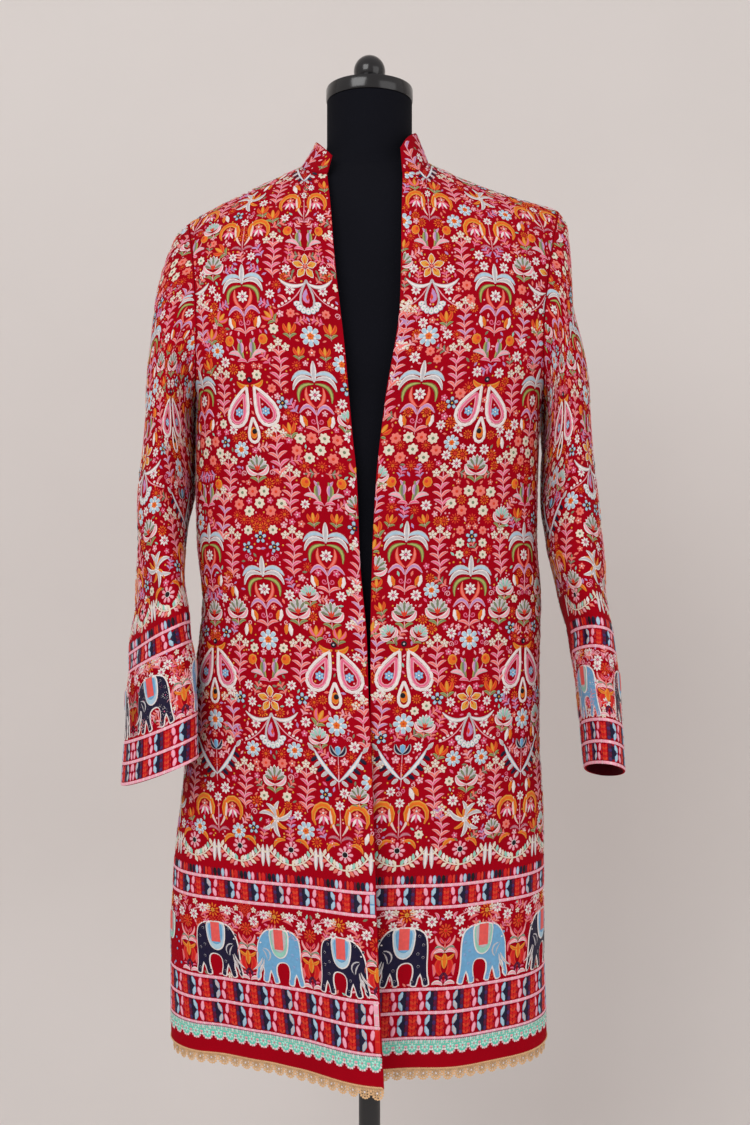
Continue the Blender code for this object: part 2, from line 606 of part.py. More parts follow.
def form_ring(z):
    """One level section of the form: across the front, then back across the rear."""
    limits = {}
    for side in (-1, 1):
        half = half_width(side, z) - FORM_IN
        limit = FORM_EDGE * half
        if z > UNDERARM_Z - FORM_ARM_BELOW:
            limit = min(limit, cut_out(side, max(z, UNDERARM_Z)) - FORM_ARM_IN)
        low, high = 0.0, 0.25
        for _ in range(40):
            mid = (low + high) / 2
            if ridge(side * mid) - WALL / shoulder_normal(side, side * mid)[2] - FORM_DOWN > z:
                low = mid
            else:
                high = mid
        if z > FORM_NECK_Z:
            limit = min(limit, NECK_OUT[side] - FORM_NECK_IN)
        limits[side] = min(limit, FORM_EDGE * low)
    ring = []
    for back in (False, True):
        arc = []
        for k in range(FORM_COLUMNS):
            share = sin(pi / 2 * (2 * k / (FORM_COLUMNS - 1) - 1))
            x = share * limits[1 if share >= 0 else -1]
            y = form_depth(x, z, back)
            arc.append((x, y if back else -y, z))
        ring += arc[::-1] if back else arc
    return ring


def build_form(jersey):
    rings = [form_ring(z) for z in FORM_ROWS]
    for k, tuck in enumerate(FORM_FOOT_TUCKS):
        rings[k] = [(x * tuck, y * tuck, z) for x, y, z in rings[k]]
    count = len(rings[0])
    for neck in NECK:
        ring = []
        for k in range(count):
            back = k >= FORM_COLUMNS
            place = (k - FORM_COLUMNS) if back else k
            swept = pi * (place + 0.5) / FORM_COLUMNS
            angle = pi + swept if not back else swept
            ring.append((neck.radius * cos(angle), neck.radius * sin(angle), neck.z))
        rings.append(ring)
    points = [p for ring in rings for p in ring]
    faces = []
    for i in range(len(rings) - 1):
        for k in range(count):
            a, b = i * count + k, i * count + (k + 1) % count
            faces += [(a, b, b + count), (a, b + count, a + count)]
    faces.append(tuple(reversed(range(count))))
    top = (len(rings) - 1) * count
    faces.append(tuple(range(top, top + count)))
    return add_object("form_torso", points, faces, jersey)


def knob_profile():
    turns = [Turn(KNOB_FOOT_RADIUS, KNOB_FOOT_Z)]
    start = -asin((KNOB_Z - KNOB_FOOT_Z - KNOB_NECK) / KNOB_RADIUS)
    for k in range(KNOB_STEPS):
        angle = start + (pi / 2 * KNOB_ROUND - start) * k / (KNOB_STEPS - 1)
        turns.append(Turn(KNOB_RADIUS * cos(angle), KNOB_Z + KNOB_RADIUS * sin(angle)))
    return turns


def main():
    for thing in list(bpy.data.objects):
        bpy.data.objects.remove(thing, do_unlink=True)
    cloth = material("crimson_cloth", (0.46, 0.010, 0.030), 0.75)
    mint = material("mint_lace_thread", (0.42, 0.74, 0.64), 0.70)
    gold = material("gold_lace_thread", (0.66, 0.48, 0.27), 0.60)
    jersey = material("black_jersey", (0.012, 0.012, 0.016), 0.85)
    gloss = material("black_gloss", (0.010, 0.010, 0.012), 0.20)
    steel = material("black_painted_steel", (0.012, 0.012, 0.013), 0.40)
    panels = build_panels(cloth)
    for side in (-1, 1):
        build_sleeve(side, panels, cloth)
    build_collar(panels, cloth)
    for key, name in ((-1, "right"), (1, "left"), (0, "back")):
        build_lace("mint_lace_" + name, panels[key], MINT, mint)
        build_lace("gold_edging_" + name, panels[key], GOLD, gold)
    build_form(jersey)
    add_turned("neck_cap", CAP, gloss)
    add_turned("knob", knob_profile(), gloss)
    add_turned("pole", [Turn(POLE_RADIUS, BASE[-1].z + SEAM), Turn(POLE_RADIUS, POLE_TOP_Z)], steel)
    add_turned("base", BASE, steel)


main()
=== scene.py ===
"""Looks of the embroidered crimson coat on its dress form, laid out as an add-on and run as a script.

Metres, +Z up, the coat's front looks along -Y.  "right" is the wearer's right (-X).
Stitches are laid out flat, in millimetres on each cut piece, and then put on the cloth.
"""
import json
from collections import namedtuple
from math import cos, hypot, pi, radians, sin

import bmesh
import bpy
import numpy as np
from bpy.props import FloatProperty, FloatVectorProperty, IntProperty, PointerProperty
from mathutils import Matrix, Vector

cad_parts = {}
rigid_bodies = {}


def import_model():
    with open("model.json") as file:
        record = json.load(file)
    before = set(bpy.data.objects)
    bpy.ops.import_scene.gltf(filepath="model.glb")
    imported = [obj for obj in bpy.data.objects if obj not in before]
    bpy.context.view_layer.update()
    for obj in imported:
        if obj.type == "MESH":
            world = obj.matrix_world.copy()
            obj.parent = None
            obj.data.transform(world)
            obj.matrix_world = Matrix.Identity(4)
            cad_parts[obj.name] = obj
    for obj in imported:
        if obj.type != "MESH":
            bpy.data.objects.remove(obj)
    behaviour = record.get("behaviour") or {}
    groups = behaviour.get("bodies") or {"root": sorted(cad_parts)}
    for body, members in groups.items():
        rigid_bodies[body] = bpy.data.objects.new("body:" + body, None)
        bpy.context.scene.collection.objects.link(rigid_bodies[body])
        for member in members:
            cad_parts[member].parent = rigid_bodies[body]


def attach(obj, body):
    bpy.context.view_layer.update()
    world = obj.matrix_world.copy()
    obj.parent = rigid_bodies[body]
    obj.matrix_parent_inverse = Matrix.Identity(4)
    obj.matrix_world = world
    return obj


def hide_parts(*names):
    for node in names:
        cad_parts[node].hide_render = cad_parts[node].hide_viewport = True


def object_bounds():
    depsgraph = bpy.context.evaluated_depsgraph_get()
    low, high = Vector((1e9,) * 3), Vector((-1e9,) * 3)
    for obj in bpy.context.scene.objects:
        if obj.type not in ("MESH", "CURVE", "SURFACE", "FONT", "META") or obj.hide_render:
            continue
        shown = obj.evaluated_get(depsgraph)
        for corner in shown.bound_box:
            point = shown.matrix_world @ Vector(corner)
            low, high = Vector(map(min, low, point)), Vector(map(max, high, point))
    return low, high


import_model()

CAD_LOW, CAD_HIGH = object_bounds()

bl_info = {
    "name": "Embroidered Crimson Coat",
    "version": (1, 0, 0),
    "blender": (4, 5, 0),
    "location": "View3D > Sidebar > Coat",
    "description": "Builds the cloth, stitching, laces and dress form of a long embroidered coat",
    "category": "Add Mesh",
}

MM = 0.001
NET_HOLE = 0.0030        # from hole to hole in the gold lace's net

# The coat's body, from the same sizes as the part's own source.
HEM_Z, UNDERARM_Z, ROOF_Z = 0.480, 1.225, 1.300
WALL, ARMHOLE_SEAM, PIPED = 0.0020, 0.0006, 0.00015

Level = namedtuple("Level", "z half_right half_left front back square")
BODY = [
    Level(0.480, 0.2346, 0.2097, 0.117, 0.130, 2.15),
    Level(0.590, 0.2346, 0.2061, 0.117, 0.127, 2.15),
    Level(0.680, 0.2311, 0.2061, 0.117, 0.124, 2.15),
    Level(0.755, 0.2228, 0.2050, 0.117, 0.121, 2.15),
    Level(0.830, 0.2140, 0.2005, 0.117, 0.117, 2.20),
    Level(0.920, 0.2045, 0.2005, 0.114, 0.111, 2.25),
    Level(0.992, 0.1970, 0.2022, 0.112, 0.107, 2.30),
    Level(1.064, 0.2037, 0.1978, 0.113, 0.107, 2.30),
    Level(1.140, 0.2050, 0.1985, 0.119, 0.112, 2.35),
    Level(1.225, 0.2030, 0.2030, 0.125, 0.119, 2.40),
    Level(1.260, 0.2150, 0.2150, 0.126, 0.121, 2.40),
    Level(1.300, 0.2245, 0.2245, 0.126, 0.122, 2.40),
    Level(1.340, 0.2310, 0.2310, 0.126, 0.122, 2.40),
    Level(1.400, 0.2420, 0.2420, 0.126, 0.122, 2.40),
    Level(1.460, 0.2520, 0.2520, 0.126, 0.122, 2.40),
    Level(1.540, 0.2600, 0.2600, 0.126, 0.122, 2.40),
]
Ridge = namedtuple("Ridge", "out z")
SHOULDER = {
    -1: [Ridge(0.000, 1.530), Ridge(0.040, 1.522), Ridge(0.080, 1.503), Ridge(0.130, 1.480),
         Ridge(0.172, 1.460), Ridge(0.212, 1.438), Ridge(0.250, 1.412)],
    1: [Ridge(0.000, 1.530), Ridge(0.040, 1.524), Ridge(0.070, 1.507), Ridge(0.1315, 1.480),
        Ridge(0.179, 1.465), Ridge(0.222, 1.453), Ridge(0.250, 1.440)],
}
NECK_OUT = {-1: 0.080, 1: 0.070}
NECK_BACK_Z, NECK_FRONT_Z = 1.497, 1.4773
Cut = namedtuple("Cut", "z out")
ARMHOLE = {
    -1: [Cut(1.225, 0.203), Cut(1.260, 0.198), Cut(1.300, 0.195), Cut(1.350, 0.197),
         Cut(1.400, 0.203), Cut(1.438, 0.212)],
    1: [Cut(1.225, 0.203), Cut(1.260, 0.199), Cut(1.300, 0.197), Cut(1.350, 0.201),
        Cut(1.400, 0.209), Cut(1.453, 0.222)],
}
Edge = namedtuple("Edge", "z x")
FRONT_EDGE = {
    -1: [Edge(0.480, 0.0160), Edge(0.590, 0.0108), Edge(0.714, 0.0065), Edge(0.821, 0.0032),
         Edge(0.897, -0.0006), Edge(0.952, -0.0023), Edge(1.040, -0.0100), Edge(1.127, -0.0132),
         Edge(1.182, -0.0186), Edge(1.268, -0.0261), Edge(1.367, -0.0372), Edge(1.4375, -0.0432),
         Edge(1.4773, -0.0478)],
    1: [Edge(0.480, -0.0180), Edge(0.600, -0.0120), Edge(0.700, -0.0070), Edge(0.800, -0.0020),
        Edge(0.850, 0.0005), Edge(0.897, 0.0014), Edge(0.952, 0.0014), Edge(1.040, 0.0032),
        Edge(1.127, 0.0076), Edge(1.214, 0.0174), Edge(1.323, 0.0337), Edge(1.4375, 0.0363),
        Edge(1.4773, 0.0377)],
}
SWING_TOP_Z, SWING, SWING_POWER = 1.000, 0.0486, 1.6
Share = namedtuple("Share", "across push")
SWING_SHAPE = [Share(0.00, 1.00), Share(0.12, 0.76), Share(0.23, 0.50), Share(0.38, 0.05),
               Share(0.53, -0.28), Share(0.70, -0.30), Share(0.85, -0.14), Share(1.00, 0.00)]
FOLD_TOP_Z, FOLD_FRONT, FOLD_BACK, FOLD_POWER = 1.080, 0.024, 0.034, 1.3
FOLD_FRONT_STEP, FOLD_BACK_STEP, FOLD_PHASE = 0.104, 0.136, 0.6
Bow = namedtuple("Bow", "place outward upward")
NECK_CURVE = [Bow(0.0, 0.0, 0.0), Bow(0.2, 0.42, 0.12), Bow(0.4, 0.72, 0.36), Bow(0.6, 0.90, 0.65),
              Bow(0.8, 0.98, 0.90), Bow(1.0, 1.0, 1.0)]
FRONT_NECK_SHARE, BACK_NECK_SHARE = 0.26, 0.36

Ring = namedtuple("Ring", "row out_x out_z in_x in_z forward half turn lean crease")
SLEEVE_SIZES = {
    -1: [
        (0.2275, 1.4240, 0.2072, 1.216, 0.000, 0.071, 0, 0, 0.0),
        (0.2400, 1.3930, 0.2085, 1.200, 0.000, 0.075, 0, 0, 0.0),
        (0.2515, 1.3450, 0.2088, 1.182, 0.000, 0.079, 0, 0, 0.0010),
        (0.2560, 1.2950, 0.2088, 1.163, 0.000, 0.082, 0, 0, 0.0015),
        (0.2605, 1.2400, 0.2088, 1.143, 0.000, 0.083, 0, 0, 0.0020),
        (0.2660, 1.1800, 0.2095, 1.120, 0.000, 0.083, 1, 0, 0.0020),
        (0.2735, 1.1150, 0.2145, 1.090, 0.002, 0.082, 4, 2, 0.0020),
        (0.2752, 1.0550, 0.2160, 1.045, 0.008, 0.080, 9, 4, 0.0025),
        (0.2785, 1.0000, 0.2090, 0.995, 0.018, 0.076, 17, 7, 0.0030),
        (0.2840, 0.9450, 0.2010, 0.945, 0.033, 0.072, 25, 10, 0.0025),
        (0.2858, 0.8950, 0.1965, 0.898, 0.044, 0.069, 30, 12, 0.0015),
        (0.2855, 0.8450, 0.1935, 0.856, 0.054, 0.067, 34, 13, 0.0010),
        (0.2875, 0.7880, 0.1910, 0.811, 0.063, 0.066, 37, 14, 0.0),
    ],
    1: [
        (0.2330, 1.4370, 0.2070, 1.216, 0.000, 0.071, 0, 0, 0.0),
        (0.2362, 1.4000, 0.2078, 1.200, 0.000, 0.075, 0, 0, 0.0),
        (0.2378, 1.3500, 0.2075, 1.182, 0.000, 0.079, 0, 0, 0.0010),
        (0.2480, 1.3000, 0.2070, 1.163, 0.000, 0.082, 0, 0, 0.0015),
        (0.2570, 1.2400, 0.2060, 1.143, 0.000, 0.083, 0, 0, 0.0020),
        (0.2625, 1.1800, 0.2052, 1.120, 0.000, 0.083, 1, 0, 0.0020),
        (0.2680, 1.1200, 0.2065, 1.090, 0.002, 0.082, 2, 2, 0.0020),
        (0.2738, 1.0600, 0.2118, 1.045, 0.006, 0.080, 3, 4, 0.0025),
        (0.2780, 1.0000, 0.2240, 0.995, 0.012, 0.078, 4, 7, 0.0030),
        (0.2855, 0.9450, 0.2350, 0.945, 0.022, 0.074, 4, 10, 0.0025),
        (0.2885, 0.8950, 0.2400, 0.895, 0.032, 0.071, 4, 12, 0.0015),
        (0.2905, 0.8450, 0.2445, 0.848, 0.042, 0.069, 3, 13, 0.0010),
        (0.2915, 0.7950, 0.2475, 0.803, 0.052, 0.068, 3, 14, 0.0),
    ],
}
SLEEVE = {side: [Ring(row, *sizes) for row, sizes in enumerate(rings)]
          for side, rings in SLEEVE_SIZES.items()}
Keep = namedtuple("Keep", "row share")
CAP_KEEP = [Keep(-1, 1.0), Keep(0, 0.70), Keep(1, 0.40), Keep(2, 0.15), Keep(3, 0.0)]
CREASE_WAVES, CREASE_SHIFT = 3, 1.9
ELBOW_ROW, ELBOW_SPREAD, ELBOW_RUCK = 8.2, 2.2, 0.0026
ARM_ROW, ARM_SPREAD, ARM_CREASE = 3.5, 1.6, 0.0016

Top = namedtuple("Top", "share x y z")
COLLAR_TOP = [
    Top(0.00, -0.0430, -0.0700, 1.4990), Top(0.05, -0.0495, -0.0600, 1.5080),
    Top(0.14, -0.0585, -0.0380, 1.5220), Top(0.26, -0.0635, 0.0000, 1.5350),
    Top(0.38, -0.0500, 0.0470, 1.5410), Top(0.50, -0.0030, 0.0680, 1.5440),
    Top(0.62, 0.0430, 0.0480, 1.5460), Top(0.74, 0.0560, 0.0000, 1.5437),
    Top(0.86, 0.0520, -0.0380, 1.5340), Top(0.95, 0.0425, -0.0620, 1.5200),
    Top(1.00, 0.0362, -0.0700, 1.5080),
]
COLLAR_IN, COLLAR_UP = 0.00035, 0.00035

# Dress form and stand, also from the part's source.
FORM_IN, FORM_DOWN, FORM_ARM_IN, FORM_NECK_IN, FORM_NECK_Z = 0.0120, 0.0006, 0.0140, 0.008, 1.494
FORM_SLIM, FORM_BOTTOM_Z, FORM_TOP_Z = 0.885, 0.830, 1.496
Neck = namedtuple("Neck", "z radius")
NECK = [Neck(1.507, 0.0545), Neck(1.517, 0.0525), Neck(1.530, 0.0505), Neck(1.5817, 0.0505)]
Turn = namedtuple("Turn", "radius z")
NECK_CAP = [Turn(0.0, 1.5820), Turn(0.0490, 1.5820), Turn(0.0508, 1.5826), Turn(0.0515, 1.5842),
            Turn(0.0515, 1.5963), Turn(0.0508, 1.5982), Turn(0.0490, 1.5990), Turn(0.0, 1.5990)]
KNOB_RADIUS, KNOB_Z, KNOB_FOOT_Z, KNOB_FOOT_RADIUS = 0.0187, 1.6200, 1.5993, 0.0100
POLE_RADIUS, POLE_TOP_Z, POLE_FOOT_Z = 0.0127, 0.8297, 0.0503
BASE = [Turn(0.0, 0.0), Turn(0.1660, 0.0000), Turn(0.1688, 0.0008), Turn(0.1700, 0.0030),
        Turn(0.1700, 0.0090), Turn(0.1688, 0.0110), Turn(0.1660, 0.0120), Turn(0.0400, 0.0150),
        Turn(0.0300, 0.0190), Turn(0.0240, 0.0300), Turn(0.0220, 0.0500), Turn(0.0, 0.0500)]


# Thread colours, as seen on screen from 0 to 255.
def ink(red, green, blue):
    def line(value):
        value /= 255
        return value / 12.92 if value <= 0.04045 else ((value + 0.055) / 1.055) ** 2.4
    return line(red), line(green), line(blue)


WHITE, PEARL, CREAM = ink(238, 230, 228), ink(196, 192, 196), ink(232, 220, 200)
ICE, SKY, NAVY = ink(176, 208, 226), ink(112, 172, 214), ink(16, 16, 50)
PINK, BLUSH, SALMON = ink(232, 106, 142), ink(242, 172, 184), ink(238, 124, 112)
CORAL, ORANGE, GOLD = ink(222, 62, 34), ink(232, 112, 26), ink(226, 160, 58)
LIME, SAGE, MINT = ink(168, 180, 96), ink(124, 132, 104), ink(150, 208, 190)
LILAC, PLUM, BLACK = ink(188, 146, 196), ink(96, 10, 54), ink(12, 10, 18)
OLIVE, COPPER, SCARLET = ink(116, 98, 54), ink(232, 188, 140), ink(212, 24, 24)
ROSE, ROPE, TEAL, SHADE = ink(236, 92, 88), ink(250, 176, 196), ink(112, 214, 190), ink(70, 40, 96)


# The surfaces.
def smooth(rows, at):
    """Every column of a table after the first, read smoothly at any array of places."""
    values = np.array(rows, float)
    x, y = values[:, 0], values[:, 1:]
    rise = np.diff(y, axis=0) / np.diff(x)[:, None]
    slope = np.zeros_like(y)
    a, b = rise[:-1], rise[1:]
    same = a * b > 0
    slope[1:-1][same] = 2 * a[same] * b[same] / (a[same] + b[same])
    slope[0], slope[-1] = rise[0], rise[-1]
    at = np.clip(np.asarray(at, float), x[0], x[-1])
    k = np.clip(np.searchsorted(x, at) - 1, 0, len(x) - 2)
    h = (x[k + 1] - x[k])[..., None]
    t = (at - x[k])[..., None] / h
    return (y[k] * (1 + 2 * t) * (1 - t) ** 2 + slope[k] * h * t * (1 - t) ** 2
            + y[k + 1] * t * t * (3 - 2 * t) + slope[k + 1] * h * t * t * (t - 1))


def ridge(x):
    size = np.abs(x)
    return np.where(x >= 0, smooth(SHOULDER[1], size)[..., 0], smooth(SHOULDER[-1], size)[..., 0])


def half_width(side, z):
    return smooth(BODY, z)[..., 1 if side > 0 else 0]


def cut_out(side, z):
    return smooth(ARMHOLE[side], z)[..., 0]


def fold(x, z, back):
    high = np.clip((FOLD_TOP_Z - z) / (FOLD_TOP_Z - HEM_Z), 0, None) ** FOLD_POWER
    if back:
        return FOLD_BACK * high * np.cos(2 * pi * x / FOLD_BACK_STEP)
    return FOLD_FRONT * high * np.cos(2 * pi * x / FOLD_FRONT_STEP + FOLD_PHASE)


# How far the wrinkles stand up, in metres, and where they are strongest.
DRAG, CHEST, SKIRT = 0.0011, 0.0014, 0.0012
WAIST_Z, CHEST_Z, SKIRT_Z, CALM_Z = 1.03, 1.28, 1.00, 1.44


def creases(x, z, back):
    """Small soft wrinkles of worn cloth, in metres; none at the side seams."""
    half = half_width(1, z)
    room = np.clip(1.35 - (np.abs(x) / half) ** 2 * 1.35, 0, 1) * np.clip((z - HEM_Z) / 0.08, 0, 1)
    room = room * np.clip((CALM_Z - z) / 0.10, 0, 1)
    lean = 0.5 if back else 0.8
    drag = np.sin(42 * z + 16 * lean * np.abs(x) + 1.7 * np.sin(9 * x + 5 * z))
    waist = np.exp(-((z - WAIST_Z) / 0.11) ** 2)
    chest = np.exp(-((z - CHEST_Z) / 0.10) ** 2) * np.clip((np.abs(x) - 0.05) / 0.10, 0, 1)
    skirt = np.clip((SKIRT_Z - z) / 0.3, 0, 1) * np.sin(33 * x + 2.1 * np.sin(5 * z)) * 0.8
    return room * (DRAG * drag * (0.35 + waist) + CHEST * chest * np.sin(55 * z - 30 * np.abs(x))
                   + SKIRT * skirt)


def bulge(x, level, inset, back):
    """How far the rounded outline of a level stands out at x."""
    half = np.where(x >= 0, level[..., 1], level[..., 0]) - inset
    reach = level[..., 3 if back else 2] - inset
    square = level[..., 4]
    return reach * np.maximum(1 - np.minimum(np.abs(x) / half, 1) ** square, 0) ** (1 / square)


def roof(x, z):
    """The share of its depth that the body keeps under the ridge of the shoulder."""
    up = np.clip((z - ROOF_Z) / np.maximum(ridge(x) - ROOF_Z, 1e-6), 0, 1)
    return np.sqrt(1 - up * up)


def depth(x, z, back):
    """How far the body stands out from the middle plane at (x, z), on its front or back."""
    out = bulge(x, smooth(BODY, z), 0.0, back) * (1 + fold(x, z, back))
    return (out + creases(x, z, back) * np.clip(out / 0.03, 0, 1)) * roof(x, z)


def swing(z, across):
    high = np.clip((SWING_TOP_Z - z) / (SWING_TOP_Z - HEM_Z), 0, None) ** SWING_POWER
    return SWING * high * smooth(SWING_SHAPE, across)[..., 0]


def along(points, axis):
    """Running length along one direction of a grid of points."""
    steps = np.linalg.norm(np.diff(points, axis=axis), axis=2)
    pad = [(0, 0), (0, 0)]
    pad[axis] = (1, 0)
    return np.cumsum(np.pad(steps, pad), axis=axis)


def unit(vectors):
    return vectors / np.maximum(np.linalg.norm(vectors, axis=-1, keepdims=True), 1e-12)


def grid_normals(points, closed):
    up = np.gradient(points, axis=0)
    if closed:
        ring = points[:, :-1]
        across = (np.roll(ring, -1, 1) - np.roll(ring, 1, 1)) / 2
        across = np.concatenate([across, across[:, :1]], axis=1)
    else:
        across = np.gradient(points, axis=1)
    return unit(np.cross(across, up))


def eased(count):
    """Places from 0 to 1, closer together towards 1."""
    return np.sin(pi / 2 * np.linspace(0, 1, count))


def domed(count):
    """Places from 0 to 1, closer together at both ends."""
    return (1 - np.cos(pi * np.linspace(0, 1, count))) / 2


SKIRT_COUNT, UPPER_COUNT, NECK_COUNT, SIDE_COUNT = 80, 46, 14, 60


def front_grid(side):
    """Points of one front panel, from the front edge (first column) out to the side."""
    shares = np.concatenate([np.linspace(0, FRONT_NECK_SHARE, NECK_COUNT)[:-1],
                             FRONT_NECK_SHARE + (1 - FRONT_NECK_SHARE) * eased(SIDE_COUNT)])
    z = np.linspace(HEM_Z, UNDERARM_Z, SKIRT_COUNT)[:-1, None] + 0 * shares
    start = smooth(FRONT_EDGE[side], z)[..., 0]
    x = start + (side * half_width(side, z) - start) * shares
    lower = np.stack([x, -depth(x, z, False), z], axis=-1)
    if side < 0:
        lower[..., 1] -= swing(z, np.broadcast_to(shares, z.shape))
    corner, neck_x = FRONT_EDGE[side][-1].x, side * NECK_OUT[side]
    tip = ARMHOLE[side][-1]
    bow = smooth(NECK_CURVE, np.clip(shares / FRONT_NECK_SHARE, 0, 1))
    top_x = corner + (neck_x - corner) * bow[:, 0]
    top_z = NECK_FRONT_Z + (float(ridge(np.array(neck_x))) - NECK_FRONT_Z) * bow[:, 1]
    beyond = shares > FRONT_NECK_SHARE
    run = (shares - FRONT_NECK_SHARE) / (1 - FRONT_NECK_SHARE)
    top_x = np.where(beyond, neck_x + (side * tip.out - neck_x) * run, top_x)
    top_z = np.where(beyond, ridge(top_x), top_z)
    up = domed(UPPER_COUNT)[:, None]
    z = UNDERARM_Z + (top_z - UNDERARM_Z) * up
    start = smooth(FRONT_EDGE[side], z)[..., 0]
    top_share = (top_x - corner) / (side * tip.out - corner)
    x = start + (side * cut_out(side, z) - start) * (shares + (top_share - shares) * up ** 3)
    x[-1] = top_x
    y = depth(x, z, False)
    y[-1, shares >= FRONT_NECK_SHARE - 1e-9] = 0
    y[0, -1] = 0
    return np.concatenate([lower, np.stack([x, -y, z], axis=-1)])


def back_grid():
    """Points of the back, from the wearer's right (-X) to the left."""
    side_part = BACK_NECK_SHARE + (1 - BACK_NECK_SHARE) * eased(SIDE_COUNT)
    half = np.concatenate([np.linspace(0, BACK_NECK_SHARE, NECK_COUNT + 4)[:-1], side_part])
    shares = np.concatenate([-half[:0:-1], half])
    side = np.where(shares >= 0, 1, -1)
    size = np.abs(shares)
    z = np.linspace(HEM_Z, UNDERARM_Z, SKIRT_COUNT)[:-1, None] + 0 * shares
    x = shares * np.where(side > 0, half_width(1, z), half_width(-1, z))
    lower = np.stack([x, depth(x, z, True), z], axis=-1)
    neck_x = np.where(side > 0, NECK_OUT[1], NECK_OUT[-1])
    tip_out = np.where(side > 0, ARMHOLE[1][-1].out, ARMHOLE[-1][-1].out)
    round_share = np.clip(size / BACK_NECK_SHARE, 0, 1)
    quarter = 1 - np.sqrt(1 - round_share ** 2)
    run = (size - BACK_NECK_SHARE) / (1 - BACK_NECK_SHARE)
    at_neck = size < BACK_NECK_SHARE - 1e-9
    top_x = np.where(at_neck, neck_x * round_share, neck_x + (tip_out - neck_x) * run)
    top_z = np.where(at_neck, NECK_BACK_Z + (ridge(side * neck_x) - NECK_BACK_Z) * quarter,
                     ridge(side * top_x))
    up = domed(UPPER_COUNT)[:, None]
    z = UNDERARM_Z + (top_z - UNDERARM_Z) * up
    cut = np.where(side > 0, cut_out(1, z), cut_out(-1, z))
    x = side * cut * (size + (top_x / tip_out - size) * up ** 3)
    x[-1] = side * top_x
    y = depth(x, z, True)
    y[-1, ~at_neck] = 0
    y[0, [0, -1]] = 0
    return np.concatenate([lower, np.stack([x, y, z], axis=-1)])


def sleeve_loop(side, angle):
    """The armhole's edge: the underarm at half a turn, the shoulder tip at 0, the front between."""
    share = (1 + np.cos(angle)) / 2
    z = UNDERARM_Z + (ARMHOLE[side][-1].z - UNDERARM_Z) * share
    x = side * cut_out(side, z)
    front = np.sin(angle) > 0
    y = np.where(front, -depth(x, z, False), depth(x, z, True))
    y = np.where((share < 1e-6) | (share > 1 - 1e-6), 0, y)
    return np.stack([x + side * ARMHOLE_SEAM, y, z], axis=-1)


SLEEVE_ROWS, SLEEVE_COLUMNS, CAP_STEPS = 100, 89, 8
COLLAR_ROWS, COLLAR_COLUMNS = 14, 150


def sleeve_grid(side):
    """Sleeve points, cuff row first; columns go from the underarm over the front to it again."""
    angle = np.linspace(pi, -pi, SLEEVE_COLUMNS)
    loop = sleeve_loop(side, angle)
    under, tip = loop[0], loop[SLEEVE_COLUMNS // 2]
    half = np.abs(loop[:, 1]).max()
    plain = ((tip + under) / 2 + np.outer(np.cos(angle), (tip - under) / 2)
             + np.outer(np.sin(angle), (0, -half, 0)))
    own = loop - plain
    rows = []
    for row in np.linspace(SLEEVE[side][-1].row, 0, SLEEVE_ROWS - CAP_STEPS):
        r = Ring(row, *smooth(SLEEVE[side], row))
        centre = np.array((side * (r.out_x + r.in_x) / 2, -r.forward, (r.out_z + r.in_z) / 2))
        turn, lean = radians(r.turn), radians(r.lean)
        long_x = r.half * sin(turn)
        wide = np.sqrt(((r.out_x - r.in_x) / 2) ** 2 - long_x ** 2)
        short = np.array((side * wide, -wide * np.tan(turn), (r.out_z - r.in_z) / 2))
        long = np.array((-side * long_x, -r.half * cos(turn) * cos(lean), r.half * sin(lean)))
        swell = 1 + r.crease / r.half * np.sin(CREASE_WAVES * angle + CREASE_SHIFT * row)
        bend = np.exp(-((row - ELBOW_ROW) / ELBOW_SPREAD) ** 2) * np.clip(row / 3, 0, 1)
        ruck = ELBOW_RUCK * bend * np.cos(angle + 0.5) * np.sin(5.2 * row + 1.2 * np.sin(2 * angle))
        arm = (ARM_CREASE * np.exp(-((row - ARM_ROW) / ARM_SPREAD) ** 2)
               * np.sin(3.3 * row + 2 * np.sin(angle + 1)))
        swell = swell + (ruck + arm * np.cos(angle)) / r.half
        ring = centre + np.outer(np.cos(angle) * swell, short) + np.outer(np.sin(angle) * swell, long)
        rows.append(ring + own * smooth(CAP_KEEP, row)[0])
    last = rows[-1]
    for step in np.linspace(0, 1, CAP_STEPS + 1)[1:]:
        rows.append(last * (1 - step) + loop * step)
    return np.array(rows)


def collar_grid(panels):
    """Collar points from the foot up; columns go from the right front corner to the left one."""
    right = panels["front_right"].points[-1, :NECK_COUNT]
    left = panels["front_left"].points[-1, :NECK_COUNT]
    back = panels["back"].points[-1]
    inner = back[np.abs(back[:, 0]) < np.where(back[:, 0] > 0, NECK_OUT[1], NECK_OUT[-1]) - 1e-6]
    foot = np.concatenate([right, inner, left[::-1]])
    foot = foot + unit(foot * (-1, -1, 0)) * COLLAR_IN
    foot[:, 2] += COLLAR_UP
    run = np.concatenate([[0], np.cumsum(np.linalg.norm(np.diff(foot, axis=0), axis=1))])
    even = np.linspace(0, run[-1], COLLAR_COLUMNS)
    foot = np.stack([np.interp(even, run, foot[:, k]) for k in range(3)], axis=1)
    top = smooth(COLLAR_TOP, even / even[-1])
    rise = np.linspace(0, 1, COLLAR_ROWS)[:, None, None]
    return foot + (top - foot) * rise


# Flat cut pieces and their places on the cloth.
FLAT_STEP, FLAT_FOOT = 3.0, 18.0     # mm between known places, and how far they go below the hem
EDGE_ROOM = 0.2                      # mm of bare cloth left along a cut edge
EDGE_REACH = 4.0                     # mm up to which the distance to a cut edge is told


def climbed(points):
    """How far each point lies above the first row, measured square to the rows."""
    step = np.diff(points, axis=0)
    row = np.gradient(points, axis=1)
    row = unit(row[1:] + row[:-1])
    square = step - (step * row).sum(axis=2, keepdims=True) * row
    rise = np.cumsum(np.linalg.norm(square, axis=2), axis=0)
    return np.concatenate([np.zeros((1, points.shape[1])), rise])


